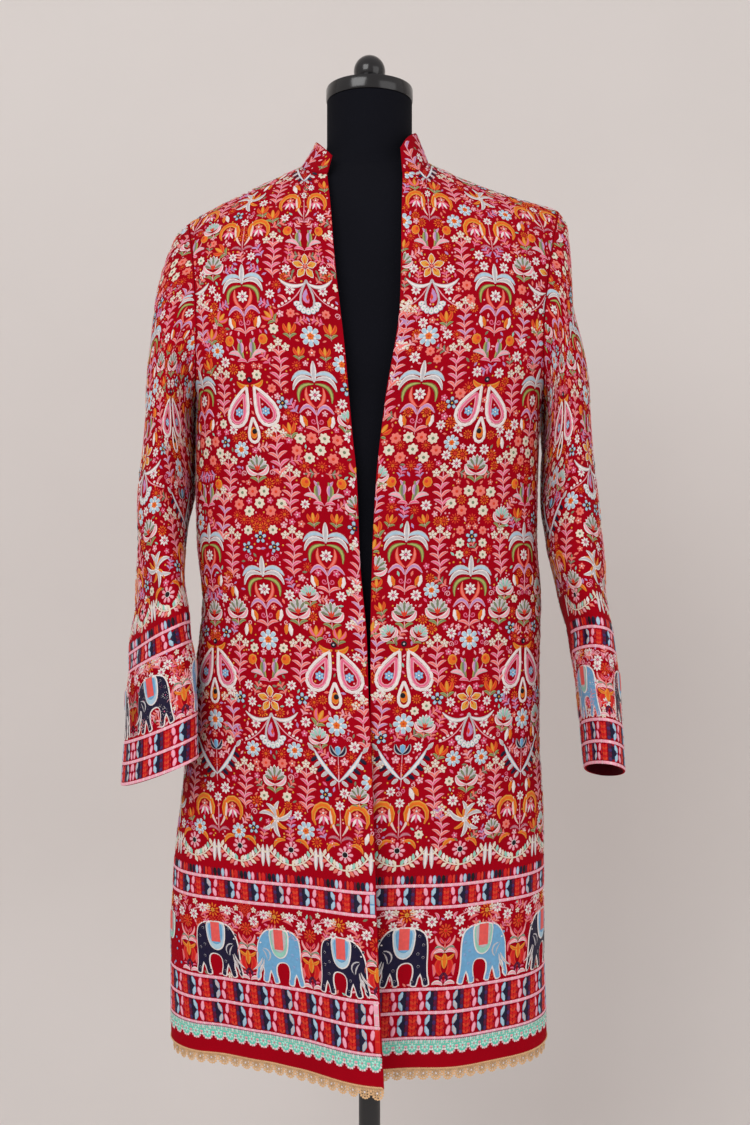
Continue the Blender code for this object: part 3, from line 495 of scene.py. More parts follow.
class Panel:
    """One cut piece: its grid of points, outward normals and flat map in millimetres."""

    def __init__(self, points, zero_column, outward, closed=False):
        self.points, self.closed = points, closed
        out = grid_normals(points, closed)
        self.out = -out if (out * outward(points)).sum() < 0 else out
        run = along(points, 1)
        self.u = (run - run[:, zero_column:zero_column + 1]) / MM
        self.v = along(points, 0) / MM
        if not closed:
            # Heights are measured square to the rows by the armhole, and along the columns by the neck.
            column = np.abs(np.arange(points.shape[1]) - zero_column)
            outer = np.clip((column / column.max() - 0.35) / 0.35, 0, 1)
            self.v += (climbed(points) / MM - self.v) * outer
        self._flatten()
        facing = np.cross(np.gradient(points, axis=1), np.gradient(points, axis=0))
        self.turned = (facing * self.out).sum() * np.sign(np.diff(self.u, axis=1).sum()) < 0

    def _flatten(self):
        """Make the table of place, normal and room to the cut edge over even flat steps."""
        self.low_u, self.high_u, self.high_v = self.u.min(), self.u.max(), self.v.max()
        self.grid_u = np.arange(self.low_u, self.high_u + FLAT_STEP, FLAT_STEP)
        self.grid_v = np.arange(0, self.high_v + FLAT_STEP, FLAT_STEP)
        rows = len(self.points)
        facts = np.concatenate([self.points, self.out, self.v[..., None]], axis=2)
        level = np.zeros((rows, len(self.grid_u), 8))
        for i in range(rows):
            for k in range(7):
                level[i, :, k] = np.interp(self.grid_u, self.u[i], facts[i, :, k])
            level[i, :, 7] = np.minimum(self.grid_u - self.u[i, 0], self.u[i, -1] - self.grid_u)
        self.table = np.zeros((len(self.grid_u), len(self.grid_v), 7))
        for j in range(len(self.grid_u)):
            high = np.maximum.accumulate(level[:, j, 6] + np.arange(rows) * 1e-6)
            for c, k in enumerate((0, 1, 2, 3, 4, 5, 7)):
                self.table[j, :, c] = np.interp(self.grid_v, high, level[:, j, k])
            room = np.minimum(self.table[j, :, 6], high[-1] - self.grid_v)
            self.table[j, :, 6] = np.clip(room, -EDGE_REACH, EDGE_REACH)
        foot = int(FLAT_FOOT / FLAT_STEP)
        first, second = self.table[:, :1], self.table[:, 1:2]
        drop = np.arange(foot, 0, -1)[None, :, None]
        below = np.repeat(first, foot, axis=1)
        below[..., :3] = first[..., :3] + (first[..., :3] - second[..., :3]) * drop
        self.table = np.concatenate([below, self.table], axis=1)
        self.low_v = -foot * FLAT_STEP

    def mirror(self):
        """Count the columns the other way round."""
        self.u, self.v = -self.u[:, ::-1], self.v[:, ::-1]
        self.points, self.out = self.points[:, ::-1], self.out[:, ::-1]
        self._flatten()
        self.turned = not self.turned

    def read(self, u, v):
        """Place, normal and whether there is cloth, at flat places."""
        t = self.table
        a = np.clip((np.asarray(u, float) - self.grid_u[0]) / FLAT_STEP, 0, t.shape[0] - 1.001)
        b = np.clip((np.asarray(v, float) - self.low_v) / FLAT_STEP, 0, t.shape[1] - 1.001)
        i, j = a.astype(int), b.astype(int)
        a, b = (a - i)[..., None], (b - j)[..., None]
        got = ((t[i, j] * (1 - a) + t[i + 1, j] * a) * (1 - b)
               + (t[i, j + 1] * (1 - a) + t[i + 1, j + 1] * a) * b)
        return got[..., :3], got[..., 3:6], got[..., 6] > EDGE_ROOM

    def place(self, u, v, high):
        point, out, _ = self.read(u, v)
        return point + unit(out) * (np.asarray(high)[..., None] * MM)


def build_panels():
    def from_axis(points):
        return points * (1, 1, 0)

    def from_rows(points):
        return points - points.mean(axis=1, keepdims=True)

    back = back_grid()
    panels = {"front_right": Panel(front_grid(-1), 0, from_axis),
              "front_left": Panel(front_grid(1), 0, from_axis),
              "back": Panel(back, int(np.abs(back[0, :, 0]).argmin()), from_axis)}
    for side, name in ((-1, "sleeve_right"), (1, "sleeve_left")):
        panels[name] = Panel(sleeve_grid(side), SLEEVE_COLUMNS // 2, from_rows, True)
        panels[name].mirror()
    collar = collar_grid(panels)
    panels["collar"] = Panel(collar, COLLAR_COLUMNS // 2, from_axis)
    return panels


# Stitch shapes, drawn once and put down thousands of times.
def read_block(shape):
    """Points, triangles and rim shares of a finished stitch shape."""
    bmesh.ops.triangulate(shape, faces=shape.faces[:])
    rim = shape.verts.layers.float["rim"]
    shape.verts.index_update()
    for face in shape.faces:
        face.normal_update()
        if face.normal.z < 0:
            face.normal_flip()
    points = np.array([corner.co[:] for corner in shape.verts])
    faces = np.array([[corner.index for corner in face.verts] for face in shape.faces])
    rims = np.array([corner[rim] for corner in shape.verts])
    shape.free()
    return points, faces, rims


CAP_INNER, SQUARE_SIZE = 0.34, 1.4     # share of a cap that slopes, and how much a square is enlarged


def stitch_block(segments, taper=None, bend=0.0, middle=False, square=False):
    """A round cap with a raised middle, drawn to a petal or leaf: one unit long and wide."""
    shape = bmesh.new()
    rim = shape.verts.layers.float.new("rim")
    start = pi / 4 if square else 0.0
    bmesh.ops.create_circle(shape, cap_ends=True, cap_tris=False, segments=segments, radius=0.5,
                            matrix=Matrix.Rotation(start, 4, "Z"))
    if middle:
        bmesh.ops.poke(shape, faces=shape.faces[:])
    else:
        bmesh.ops.inset_region(shape, faces=shape.faces[:], thickness=CAP_INNER * 0.5, depth=0,
                               use_boundary=True)
    for corner in shape.verts:
        low = corner.co.to_2d().length > 0.49
        corner.co.z, corner[rim] = (0.0, 1.0) if low else (1.0, 0.0)
        x, y = corner.co.x, corner.co.y
        if square:
            x, y = x * SQUARE_SIZE, y * SQUARE_SIZE
        if taper is not None:
            x, y = x + 0.5, y * taper(x + 0.5) + bend * (x * x - 0.25)
        corner.co.x, corner.co.y = x, y
    return read_block(shape)


CORD_WIDTH, CORD_INNER, PATCH_CELL = 1.3, 0.5, 8.0       # mm


def patch_block(outline):
    """A flat patch in millimetres with a raised cord along its outline, cut so that it can bend."""
    shape = bmesh.new()
    rim = shape.verts.layers.float.new("rim")
    face = shape.faces.new([shape.verts.new((x, y, 0)) for x, y in outline])
    face.normal_update()
    for corner in face.verts:
        corner[rim] = 1.0
    for thickness, high, share in ((CORD_WIDTH, 1.0, 0.9), (CORD_INNER, 0.75, 0.0)):
        bmesh.ops.inset_region(shape, faces=[face], thickness=thickness, depth=0, use_even_offset=True,
                               use_boundary=True)
        for corner in face.verts:
            corner[rim], corner.co.z = share, high
    points = np.array(outline)
    for axis in (0, 1):
        for cut in np.arange(points[:, axis].min() + PATCH_CELL, points[:, axis].max(), PATCH_CELL):
            place, normal = [0, 0, 0], [0, 0, 0]
            place[axis], normal[axis] = cut, 1
            bmesh.ops.bisect_plane(shape, geom=shape.verts[:] + shape.edges[:] + shape.faces[:],
                                   plane_co=place, plane_no=normal, dist=0.01)
    return read_block(shape)


def rounded(points, steps=2):
    """A closed outline passed smoothly through its points."""
    p = np.array(points, float)
    made = []
    for k in range(len(p)):
        a, b, c, d = p[k - 1], p[k], p[(k + 1) % len(p)], p[(k + 2) % len(p)]
        for t in np.arange(steps) / steps:
            made.append(0.5 * (2 * b + (c - a) * t + (2 * a - 5 * b + 4 * c - d) * t * t
                               + (3 * b - a - 3 * c + d) * t ** 3))
    return [tuple(point) for point in made]


# A walking elephant that looks left, in millimetres, from its back over head, trunk, legs and belly.
ELEPHANT = [(29, 5), (28, 19), (24, 28), (14, 33), (2, 34), (-10, 33), (-19, 29), (-26, 20), (-30, 8),
            (-31, -6), (-32, -18), (-34, -27), (-32, -32), (-27, -27), (-26, -17), (-24, -13),
            (-23, -20), (-25, -31), (-18, -33), (-15, -26), (-13, -20), (-11, -26), (-9, -33), (-2, -31),
            (-4, -22), (-4, -13), (0, -8), (7, -7), (11, -10), (12, -17), (11, -24), (10, -32),
            (17, -33), (19, -26), (21, -21), (23, -27), (25, -33), (32, -31), (30, -20), (29, -8)]
BLANKET = [(-12, 16), (0, 17), (12, 16), (13, 4), (11, -8), (7, -15), (0, -18), (-7, -15), (-11, -8),
           (-13, 4)]
BLOCKS = {}


def make_blocks():
    def leaf(x):
        return 1.05 * max(1 - (2 * x - 1) ** 2, 0) ** 0.5 + 0.02

    def straight(x):
        return 1.0

    BLOCKS.update(
        petal=stitch_block(8, lambda x: 0.40 + 0.75 * x), leaf=stitch_block(8, leaf),
        drop=stitch_block(10, lambda x: 1.25 - 0.95 * x, bend=0.9), disc=stitch_block(8),
        oval=stitch_block(8, straight), block=stitch_block(4, straight, square=True),
        bead=stitch_block(6, middle=True), seed=stitch_block(6, leaf, middle=True),
        elephant=patch_block(rounded(ELEPHANT)), blanket=patch_block(rounded(BLANKET)))


class Stitching:
    """The raised stitches of one panel, gathered flat and then laid on the cloth."""

    def __init__(self, panel):
        self.panel = panel
        self.marks = {kind: [] for kind in BLOCKS}
        self.lines = []

    def mark(self, kind, u, v, turn, length, width, fill, edge=None, lift=0.0, high=0.55):
        edge = edge or fill
        self.marks[kind].append((u, v, turn, length, width, lift, high, *fill, *edge))

    def line(self, points, width, fill, high=0.45, lift=0.0, edge=None, leaf=False):
        self.lines.append((np.array(points, float), width, fill, high, lift, edge or fill, leaf))

    def build(self, name, paint, trim=True, offset=0.12):
        """Lay every stitch on the panel and make one mesh of them."""
        flat, faces, rims, fills, edges, start = [], [], [], [], [], 0
        for kind, marks in self.marks.items():
            if not marks:
                continue
            rows = np.array(marks)
            points, block, rim = BLOCKS[kind]
            px = points[None, :, 0] * rows[:, 3:4]
            py = points[None, :, 1] * rows[:, 4:5]
            c, s = np.cos(rows[:, 2:3]), np.sin(rows[:, 2:3])
            u = rows[:, 0:1] + px * c - py * s
            v = rows[:, 1:2] + px * s + py * c
            high = offset + rows[:, 5:6] + points[None, :, 2] * rows[:, 6:7]
            if trim:
                keep = self.panel.read(u, v)[2].all(axis=1)
                rows, u, v, high, px, py = rows[keep], u[keep], v[keep], high[keep], px[keep], py[keep]
            if not len(rows):
                continue
            count = len(points)
            flat.append(np.stack([u, v, high, px, py], axis=-1).reshape(-1, 5))
            places = np.arange(len(rows))[:, None, None] * count + block[None] + start
            flipped = rows[:, 3] * rows[:, 4] < 0
            places[flipped] = places[flipped][:, :, ::-1]
            faces.append(places.reshape(-1, 3))
            rims.append(np.broadcast_to(rim, u.shape).ravel())
            fills.append(np.repeat(rows[:, 7:10], count, axis=0))
            edges.append(np.repeat(rows[:, 10:13], count, axis=0))
            start += len(rows) * count
        for path, width, fill, high, lift, edge, leaf in self.lines:
            if trim:
                inside = self.panel.read(path[:, 0], path[:, 1])[2]
                if not inside.all():
                    runs = np.split(np.arange(len(path)), np.flatnonzero(np.diff(inside.astype(int))) + 1)
                    kept = [run for run in runs if inside[run[0]]]
                    path = path[max(kept, key=len)] if kept else path[:0]
            count = len(path)
            if count < 3:
                continue
            step = np.gradient(path, axis=0)
            across = unit(np.stack([-step[:, 1], step[:, 0]], axis=1))
            k = np.arange(count)
            if leaf:
                taper = width / 2 * np.sin(pi * (0.04 + 0.92 * k / (count - 1))) ** 0.7
            else:
                taper = width / 2 * np.clip(np.minimum(k + 0.6, count - k - 0.4) / 1.6, 0, 1)
            spread = across * taper[:, None]
            run = np.concatenate([[0], np.cumsum(np.hypot(*np.diff(path, axis=0).T))])
            three = np.concatenate([path + spread, path, path - spread])
            tall = offset + lift + np.concatenate([np.zeros(count), np.full(count, high), np.zeros(count)])
            flat.append(np.column_stack([three, tall, np.tile(run, 3), np.zeros(3 * count)]))
            k = k[:-1]
            left, crest, right = k + start, k + count + start, k + 2 * count + start
            for a, b in ((crest, left), (right, crest)):
                faces.append(np.stack([a, a + 1, b], axis=1))
                faces.append(np.stack([b, a + 1, b + 1], axis=1))
            rims.append(np.concatenate([np.ones(count), np.zeros(count), np.ones(count)]))
            fills.append(np.tile(fill, (3 * count, 1)))
            edges.append(np.tile(edge, (3 * count, 1)))
            start += 3 * count
        flat, faces = np.concatenate(flat), np.concatenate(faces)
        points = self.panel.place(flat[:, 0], flat[:, 1], flat[:, 2])
        if self.panel.turned:
            faces = faces[:, ::-1]
        return add_mesh(name, points, faces, paint, uv=flat[:, 3:5], rim=np.concatenate(rims),
                        fill=np.concatenate(fills), edge=np.concatenate(edges))


def add_mesh(name, points, faces, paint, uv, rim, fill, edge):
    """A smooth mesh straight from arrays, with its flat coordinates, rim shares and thread colours."""
    mesh = bpy.data.meshes.new(name)
    mesh.vertices.add(len(points))
    mesh.vertices.foreach_set("co", np.ascontiguousarray(points, np.float32).ravel())
    mesh.loops.add(faces.size)
    mesh.loops.foreach_set("vertex_index", np.ascontiguousarray(faces, np.int32).ravel())
    mesh.polygons.add(len(faces))
    mesh.polygons.foreach_set("loop_start", np.arange(0, faces.size, faces.shape[1], dtype=np.int32))
    mesh.update(calc_edges=True)
    mesh.polygons.foreach_set("use_smooth", np.ones(len(faces), bool))
    layer = mesh.uv_layers.new(name="stitch")
    layer.data.foreach_set("uv", np.ascontiguousarray(uv[faces.ravel()], np.float32).ravel())
    mesh.attributes.new("rim", "FLOAT", "POINT").data.foreach_set("value", rim.astype(np.float32))
    for title, colour in (("fill", fill), ("edge", edge)):
        full = np.column_stack([colour, np.ones(len(colour))]).astype(np.float32)
        mesh.attributes.new(title, "FLOAT_COLOR", "POINT").data.foreach_set("color", full.ravel())
    mesh.validate()
    mesh.materials.append(paint)
    return add_object(name, mesh)


def add_shape(name, shape, finishes, sharp=None):
    """A smooth object from a bmesh, with the edges hard that bend by more than so many degrees."""
    mesh = bpy.data.meshes.new(name)
    shape.to_mesh(mesh)
    shape.free()
    mesh.polygons.foreach_set("use_smooth", np.ones(len(mesh.polygons), bool))
    if sharp:
        mesh.set_sharp_from_angle(angle=radians(sharp))
    for finish in finishes:
        mesh.materials.append(finish)
    return add_object(name, mesh)


def add_object(name, data):
    thing = bpy.data.objects.new(name, data)
    bpy.context.scene.collection.objects.link(thing)
    return thing


# Motifs, in millimetres, drawn upright round their own middle.
def arched(start, end, bulge, steps=7):
    """Points on a bow from start to end that stands bulge millimetres off the straight line."""
    (x0, y0), (x1, y1) = start, end
    length = max(hypot(x1 - x0, y1 - y0), 1e-6)
    across = (-(y1 - y0) / length, (x1 - x0) / length)
    made = []
    for k in range(steps + 1):
        t = k / steps
        push = 4 * bulge * t * (1 - t)
        made.append((x0 + (x1 - x0) * t + across[0] * push, y0 + (y1 - y0) * t + across[1] * push))
    return made


def teardrop(wide, tall, middle, turn=0.0, steps=16):
    """A closed drop with its point up, round a middle."""
    made = []
    for k in range(steps + 1):
        t = 2 * pi * k / steps
        x, y = wide * sin(t) * abs(sin(t / 2)) ** 1.4, tall * cos(t)
        made.append((middle[0] + x * cos(turn) - y * sin(turn), middle[1] + x * sin(turn) + y * cos(turn)))
    return made


class Spot:
    """A place on a panel that a motif is drawn round: turned, sized and maybe mirrored."""

    def __init__(self, stitching, u, v, turn=0.0, size=1.0, flip=1, lift=0.0):
        self.to, self.u, self.v = stitching, u, v
        self.turn, self.size, self.flip, self.lift = turn, size, flip, lift

    def at(self, x, y):
        x *= self.flip
        c, s = cos(self.turn), sin(self.turn)
        return self.u + self.size * (x * c - y * s), self.v + self.size * (x * s + y * c)

    def inner(self, x, y, size=1.0, turn=0.0, lift=0.0):
        return Spot(self.to, *self.at(x, y), self.turn + turn * self.flip, self.size * size, self.flip,
                    self.lift + lift)

    def put(self, kind, x, y, angle, length, width, fill, edge=None, lift=0.0, high=0.55):
        u, v = self.at(x, y)
        if self.flip < 0:
            angle = pi - angle
        self.to.mark(kind, u, v, self.turn + angle, length * self.size,
                     width * self.size * (self.flip if kind == "drop" else 1), fill, edge,
                     self.lift + lift, high)

    def bead(self, x, y, size, fill, **more):
        self.put("bead", x, y, 0, size, size, fill, **more)

    def patch(self, kind, x, y, size, fill, edge, lift=0.0):
        u, v = self.at(x, y)
        size *= self.size
        self.to.mark(kind, u, v, self.turn, size * self.flip, size, fill, edge, self.lift + lift, 0.6)

    def ring(self, count, radius, length, width, fill, edge=None, start=pi / 2, kind="petal", **more):
        for k in range(count):
            angle = start + 2 * pi * k / count
            self.put(kind, radius * cos(angle), radius * sin(angle), angle, length, width, fill, edge, **more)

    def stem(self, points, width, fill, lift=0.0, **more):
        self.to.line([self.at(x, y) for x, y in points], width * self.size, fill,
                     lift=self.lift + lift, **more)

    def frond(self, start, end, bulge, width, fill, edge=None, lift=0.0, high=0.6, steps=7):
        self.stem(arched(start, end, bulge, steps), width, fill, lift, edge=edge, leaf=True, high=high)

    def fronds(self, start, end, bulge, width, fill, edge=None, **more):
        """The same leaf on both sides of the middle."""
        for side in (-1, 1):
            self.frond((side * start[0], start[1]), (side * end[0], end[1]), side * bulge, width, fill, edge,
                       **more)

    def pair(self, draw, x, y, size, *tints):
        """The same small motif on both sides of the middle."""
        for side in (-1, 1):
            draw(self.inner(side * x, y, size), *tints)

    def curl(self, x, y, radius, turns, start, fill):
        steps = abs(int(9 * turns))
        path = []
        for k in range(steps + 1):
            share = k / steps
            angle = start + 2 * pi * turns * share
            reach = radius * (1 - 0.80 * share)
            path.append((x + reach * cos(angle), y + reach * sin(angle)))
        self.stem(path, 1.2, fill, high=0.4)


def daisy(spot, heart=PINK, petals=WHITE, count=8):
    spot.ring(count, 1.3, 5.6, 2.9, petals, kind="seed")
    spot.bead(0, 0, 2.6, heart, lift=0.25)


def blossom(spot, petals=CREAM, heart=SAGE):
    spot.ring(7, 0.8, 5.6, 4.6, petals, kind="seed")
    spot.bead(0, 0, 3.4, heart, lift=0.3)


def lined_flower(spot, tint=ORANGE, heart=CORAL):
    spot.ring(10, 2.6, 4.4, 1.7, tint, kind="seed")
    spot.ring(6, 0.2, 2.4, 1.3, heart, kind="seed", lift=0.1)


def posy(spot, tint=PINK):
    spot.ring(5, 0.7, 3.9, 3.0, tint, kind="seed")
    spot.bead(0, 0, 2.2, WHITE, lift=0.25)


def rosette(spot, one=ICE, two=WHITE, heart=ORANGE):
    spot.ring(8, 3.2, 8.6, 7.0, one, two)
    spot.ring(8, 2.6, 4.6, 2.6, two, start=pi / 8 + pi / 2, kind="seed", lift=0.35)
    spot.ring(5, 0.4, 4.0, 3.4, heart, kind="seed", lift=0.6)
    spot.bead(0, 0, 2.6, CORAL, lift=0.8)


def star_flower(spot, petals=GOLD, line=CORAL):
    spot.ring(5, 1.6, 14.0, 8.2, petals, WHITE, kind="leaf")
    spot.ring(5, 1.0, 8.6, 1.7, line, lift=0.5, kind="seed")
    spot.bead(0, 0, 3.6, SALMON, lift=0.6)


def stem_down(spot, top, bottom, leaves=SALMON, other=BLUSH):
    """A stalk with a pair of curls and a pair of leaves."""
    third = (bottom - top) / 3
    spot.stem([(0, top), (0.5, top + third), (-0.4, bottom - third), (0, bottom)], 1.2, BLUSH)
    middle = top + (bottom - top) * 0.45
    spot.curl(-4.2, middle, 3.4, -1.2, 0, PINK)
    spot.curl(4.2, middle, 3.4, 1.2, pi, PINK)
    spot.fronds((0.4, bottom + 3), (13, bottom + 8), 2.6, 3.8, leaves, other)


def plume(spot):
    """An upright palm-like flower with drooping fronds and a daisy at its heart."""
    spot.fronds((0.5, 16), (25, 11), 6.5, 5.6, ICE, PEARL)
    spot.fronds((0.5, 12), (24, 1), 8.0, 5.4, PEARL, WHITE, lift=0.1)
    spot.fronds((1, 8), (18, -12), 8.0, 5.0, LIME, OLIVE)
    spot.fronds((0.5, -18), (9, 4), -4.5, 4.6, SALMON, CORAL, lift=0.1)
    spot.frond((0, 10), (0, 33), 0, 6.4, PEARL, WHITE, lift=0.3)
    daisy(spot.inner(0, -4, 1.05, lift=0.3))
    spot.fronds((0.5, -26), (19, -24), 9.0, 5.0, LILAC, BLUSH)
    for side in (-1, 1):
        spot.put("leaf", side * 18, -26, radians(-90 - side * 12), 14, 5.6, WHITE)
        spot.put("leaf", side * 15.2, -27, radians(-90 - side * 16), 12, 5.2, ORANGE, GOLD, lift=0.1)
    stem_down(spot, -20, -48)


def paisley_pair(spot):
    """Two outlined teardrops splayed over a smaller one."""
    for side in (-1, 1):
        turn = side * radians(24)
        spot.stem(teardrop(17, 24, (side * 14.5, 2), turn, 18), 3.6, WHITE, high=0.9)
        spot.stem(teardrop(11.5, 17, (side * 15.5, -0.5), turn, 14), 4.2, PINK, edge=BLUSH)
        flower = spot.inner(side * 16.5, -5, 0.8)
        flower.ring(6, 1.0, 6.0, 4.8, ICE, SKY, kind="seed")
        flower.bead(0, 0, 3.0, WHITE, lift=0.3)
    spot.fronds((1.5, 24), (16, 29), -3.5, 5.4, ORANGE, GOLD, lift=0.2)
    spot.stem(teardrop(8.6, 14, (0, -25), 0, 14), 3.4, WHITE, high=0.9)
    spot.put("oval", 0, -35, pi / 2, 13, 8.6, ORANGE, GOLD, lift=0.1)
    spot.put("disc", -1.0, -27, 0, 6.4, 7.0, BLACK, NAVY, lift=0.4)
    spot.put("disc", 0, 30, 0, 6.6, 6.6, BLACK, NAVY, lift=0.3)
    spot.bead(0, 30, 2.4, PEARL, lift=0.9)
    spot.pair(daisy, 26, -24, 0.9)
    spot.pair(lined_flower, 14, -31, 0.8)


def star_swag(spot):
    """A star over two outstretched arms and a drop with a scalloped foot."""
    star_flower(spot.inner(0, 25, 1.0))
    spot.fronds((0.5, 6), (31, 11), -6.5, 4.6, WHITE, PEARL, lift=0.2)
    spot.stem(teardrop(11, 17, (0, -7), 0, 16), 2.4, PEARL, high=0.8)
    spot.put("drop", 0, -17, pi / 2, 17, 9.0, LILAC, PINK)
    spot.put("seed", 0, -15, pi / 2, 9, 3.6, CORAL, lift=0.4)
    for k in range(7):
        angle = radians(200 + 140 * k / 6)
        spot.put("petal", 8.2 * cos(angle), -13 + 8.2 * sin(angle), angle, 8.4, 7.4, WHITE, ICE, lift=0.1)
        spot.bead(13 * cos(angle), -13 + 13 * sin(angle), 2.2, MINT, lift=0.6)
    for side in (-1, 1):
        spot.stem(arched((side * 5, 2), (side * 34, -22), side * -4), 1.2, BLUSH)
        for k in range(4):
            spot.bead(side * (20 + 4.2 * k), -12 - 2.6 * k, 3.4, WHITE)
    spot.pair(daisy, 19, -2, 0.9)
    spot.pair(daisy, 22, 22, 0.85)
    spot.fronds((24, -15), (33, -8), 2, 3.4, SALMON, BLUSH)


def carnation(spot, one=PEARL, two=SAGE):
    """A fan of narrow petals in a curled cup."""
    for k in range(9):
        angle = radians(90 + (k - 4) * 17)
        spot.put("petal", 0, -4, angle, 17 - abs(k - 4) * 0.8, 4.6, one if k % 2 else two, WHITE)
    spot.fronds((0, -9), (13, 1), -4.0, 5.4, BLUSH, WHITE, lift=0.5)
    for k in (-1, 0, 1):
        spot.put("seed", 0, -6, radians(90 + 24 * k), 8.5, 2.4, CORAL, lift=0.6)
    spot.stem([(0, -9), (0.6, -14), (0, -19)], 1.3, BLUSH)
    spot.fronds((0.4, -18), (10, -13), 2, 3.4, SAGE, LIME)


def bud_spray(spot):
    """Two orange buds on leafy stalks."""
    for side in (-1, 1):
        spot.stem(arched((0, -13), (side * 17, 8), side * -2.5), 1.2, BLUSH)
        spot.put("disc", side * 20, 12, 0, 11.0, 12.0, ORANGE, GOLD, lift=0.1)
        spot.put("bead", side * 18.6, 13, 0, 4.2, 4.6, CORAL, lift=0.6)
    spot.fronds((4, -8), (5.5, 13), -3, 6.4, SAGE, LIME)
    spot.fronds((7, -4), (10.5, 14), 3, 5.0, LILAC, BLUSH)
    spot.fronds((6, -7), (22, -2), 3, 5.6, BLUSH, PEARL)
    spot.fronds((1, -12), (12, -11), 2, 4.0, PINK, BLUSH)


def comb_fan(spot):
    """A pair of leaves of navy and white bars, with two daisies between."""
    for side in (-1, 1):
        for k in range(6):
            x, y = side * (3 + 4.2 * k), -15 + 5.0 * k
            spot.put("oval", x, y, radians(90 - side * 128), 11.5 - abs(k - 2.5), 4.6,
                     NAVY if k % 2 else PEARL, BLACK if k % 2 else WHITE)
        spot.put("leaf", side * 27, 16, radians(90 - side * 40), 11, 4.6, PEARL, WHITE)
    spot.fronds((0, -16), (27, 18), -2.5, 4.6, WHITE, ICE, lift=0.3)
    spot.pair(posy, 7, 6, 1.1, BLUSH)
    lined_flower(spot.inner(0, -3, 0.9), CORAL)
    spot.stem([(0, -24), (0.4, -16), (0, -8), (0, 16)], 1.3, BLUSH)
    spot.fronds((0, 12), (8, 23), -2.6, 5.4, NAVY, PEARL, lift=0.1)
    spot.put("petal", 0, 12, pi / 2, 11, 8, SKY, ICE, lift=0.5)


def lily(spot):
    """A drooping six-petalled flower over orange leaves."""
    for angle, reach, push in ((150, 21, 4), (100, 20, -3), (55, 20, 3), (15, 21, 4), (-35, 20, -3),
                               (-100, 20, 3)):
        end = (reach * cos(radians(angle)), reach * sin(radians(angle)))
        spot.frond((0, 0), end, push, 5.4, PEARL, WHITE, lift=0.2)
    for angle in (128, 78, 35, -62, -140):
        end = (16 * cos(radians(angle)), 16 * sin(radians(angle)))
        spot.frond((0, 0), end, 2.5, 4.0, ORANGE, GOLD)
    posy(spot.inner(0, 0, 1.0, lift=0.5), WHITE)


def arch_pair(spot):
    """Two orange arches, each over a fan of pink feathers."""
    for side in (-1, 1):
        path = [(side * (19 - 12 * cos(radians(a))), 2 + 14 * sin(radians(a))) for a in range(-50, 221, 30)]
        spot.stem(path, 6.4, ORANGE, edge=GOLD, leaf=True, high=0.8)
        for k in range(5):
            angle = radians(-90 + (k - 2) * 26)
            spot.put("seed", side * 19, 6, angle, 13, 3.2, WHITE if k % 2 else PINK)
        posy(spot.inner(side * 19, 7, 1.1, lift=0.3), SALMON)
        spot.frond((side * 2, -16), (side * 10, 16), side * -4, 3.6, CREAM, BLUSH)
        spot.fronds((1, -22), (14, -20), 3, 3.8, BLUSH, PINK)
    spot.stem([(0, -24), (0.4, -14), (-0.3, 0), (0, 12)], 1.2, BLUSH)
    daisy(spot.inner(0, 16, 0.85))


def blossom_cluster(spot):
    for x, y, tint in ((-26, 4, CREAM), (-13, -4, SALMON), (0, 5, CREAM), (13, -4, CREAM), (26, 4, SALMON),
                       (-20, 17, SALMON), (-6, 18, CREAM), (8, 18, SALMON), (21, 17, CREAM)):
        blossom(spot.inner(x, y, 1.05, turn=x * 0.1), tint, SAGE if tint == CREAM else CORAL)
    for x in (-20, 0, 20):
        lined_flower(spot.inner(x, -13, 0.9), CORAL, ORANGE)


def vine(spot, leaves=SALMON, other=PINK, crown=True):
    """A leafy upright stalk under three small flowers."""
    spot.stem([(1.5 * sin(k * 0.8), -27 + 42 * k / 9) for k in range(10)], 1.2, BLUSH)
    for k in range(5):
        y = -24 + 8.5 * k
        x = 1.5 * sin((y + 27) / 42 * 7.2)
        reach = 11 - abs(k - 1.5) * 1.4
        for side in (-1, 1):
            spot.frond((x, y), (x + side * reach, y + 7 + side * 1.2), side * 2.0, 3.7,
                       leaves if (k + side) % 2 else other, BLUSH, steps=5)
    if crown:
        for x, y in ((-8, 20), (0, 26), (8, 20)):
            spot.stem(arched((0, 13), (x, y - 3), x * 0.1, 4), 1.0, BLUSH)
            posy(spot.inner(x, y, 1.15), CREAM)


def sprig(spot, leaves=SALMON, other=BLUSH):
    spot.stem([(1.2 * sin(k * 0.9), -9 + 17 * k / 6) for k in range(7)], 1.1, BLUSH)
    for k in range(3):
        y = -6 + 5.0 * k
        for side in (-1, 1):
            spot.frond((0.5, y), (side * 6.4, y + 4.4), side * 1.2, 2.9, leaves if k % 2 else other, steps=4)
    spot.put("seed", 0.4, 7.0, pi / 2, 6.0, 3.0, leaves)


def hanging_bud(spot):
    spot.put("leaf", -2.4, 7, radians(-96), 15, 5.6, WHITE)
    spot.put("leaf", 1.2, 7, radians(-84), 13, 5.2, ORANGE, GOLD, lift=0.1)
    spot.curl(1.5, 8, 3.0, 1.2, radians(200), BLUSH)


def two_curls(spot):
    spot.curl(-3.2, 0, 4.2, 1.4, radians(-60), BLUSH)
    spot.curl(4.0, 2, 3.4, 1.3, radians(200), PINK)
    spot.put("seed", 0, 4.5, pi / 2, 5.0, 2.6, LILAC)


def small_tulip(spot, tint=CORAL):
    spot.fronds((0, -4), (6.5, 7), -2.0, 4.6, tint, ORANGE)
    spot.frond((0, -4), (0, 8), 0, 5.0, GOLD, ORANGE, lift=0.2)
    spot.stem([(0, -4), (0.4, -8), (0, -12)], 1.1, BLUSH)
    spot.fronds((0, -10), (8, -5), 1.5, 3.2, SAGE, LIME)


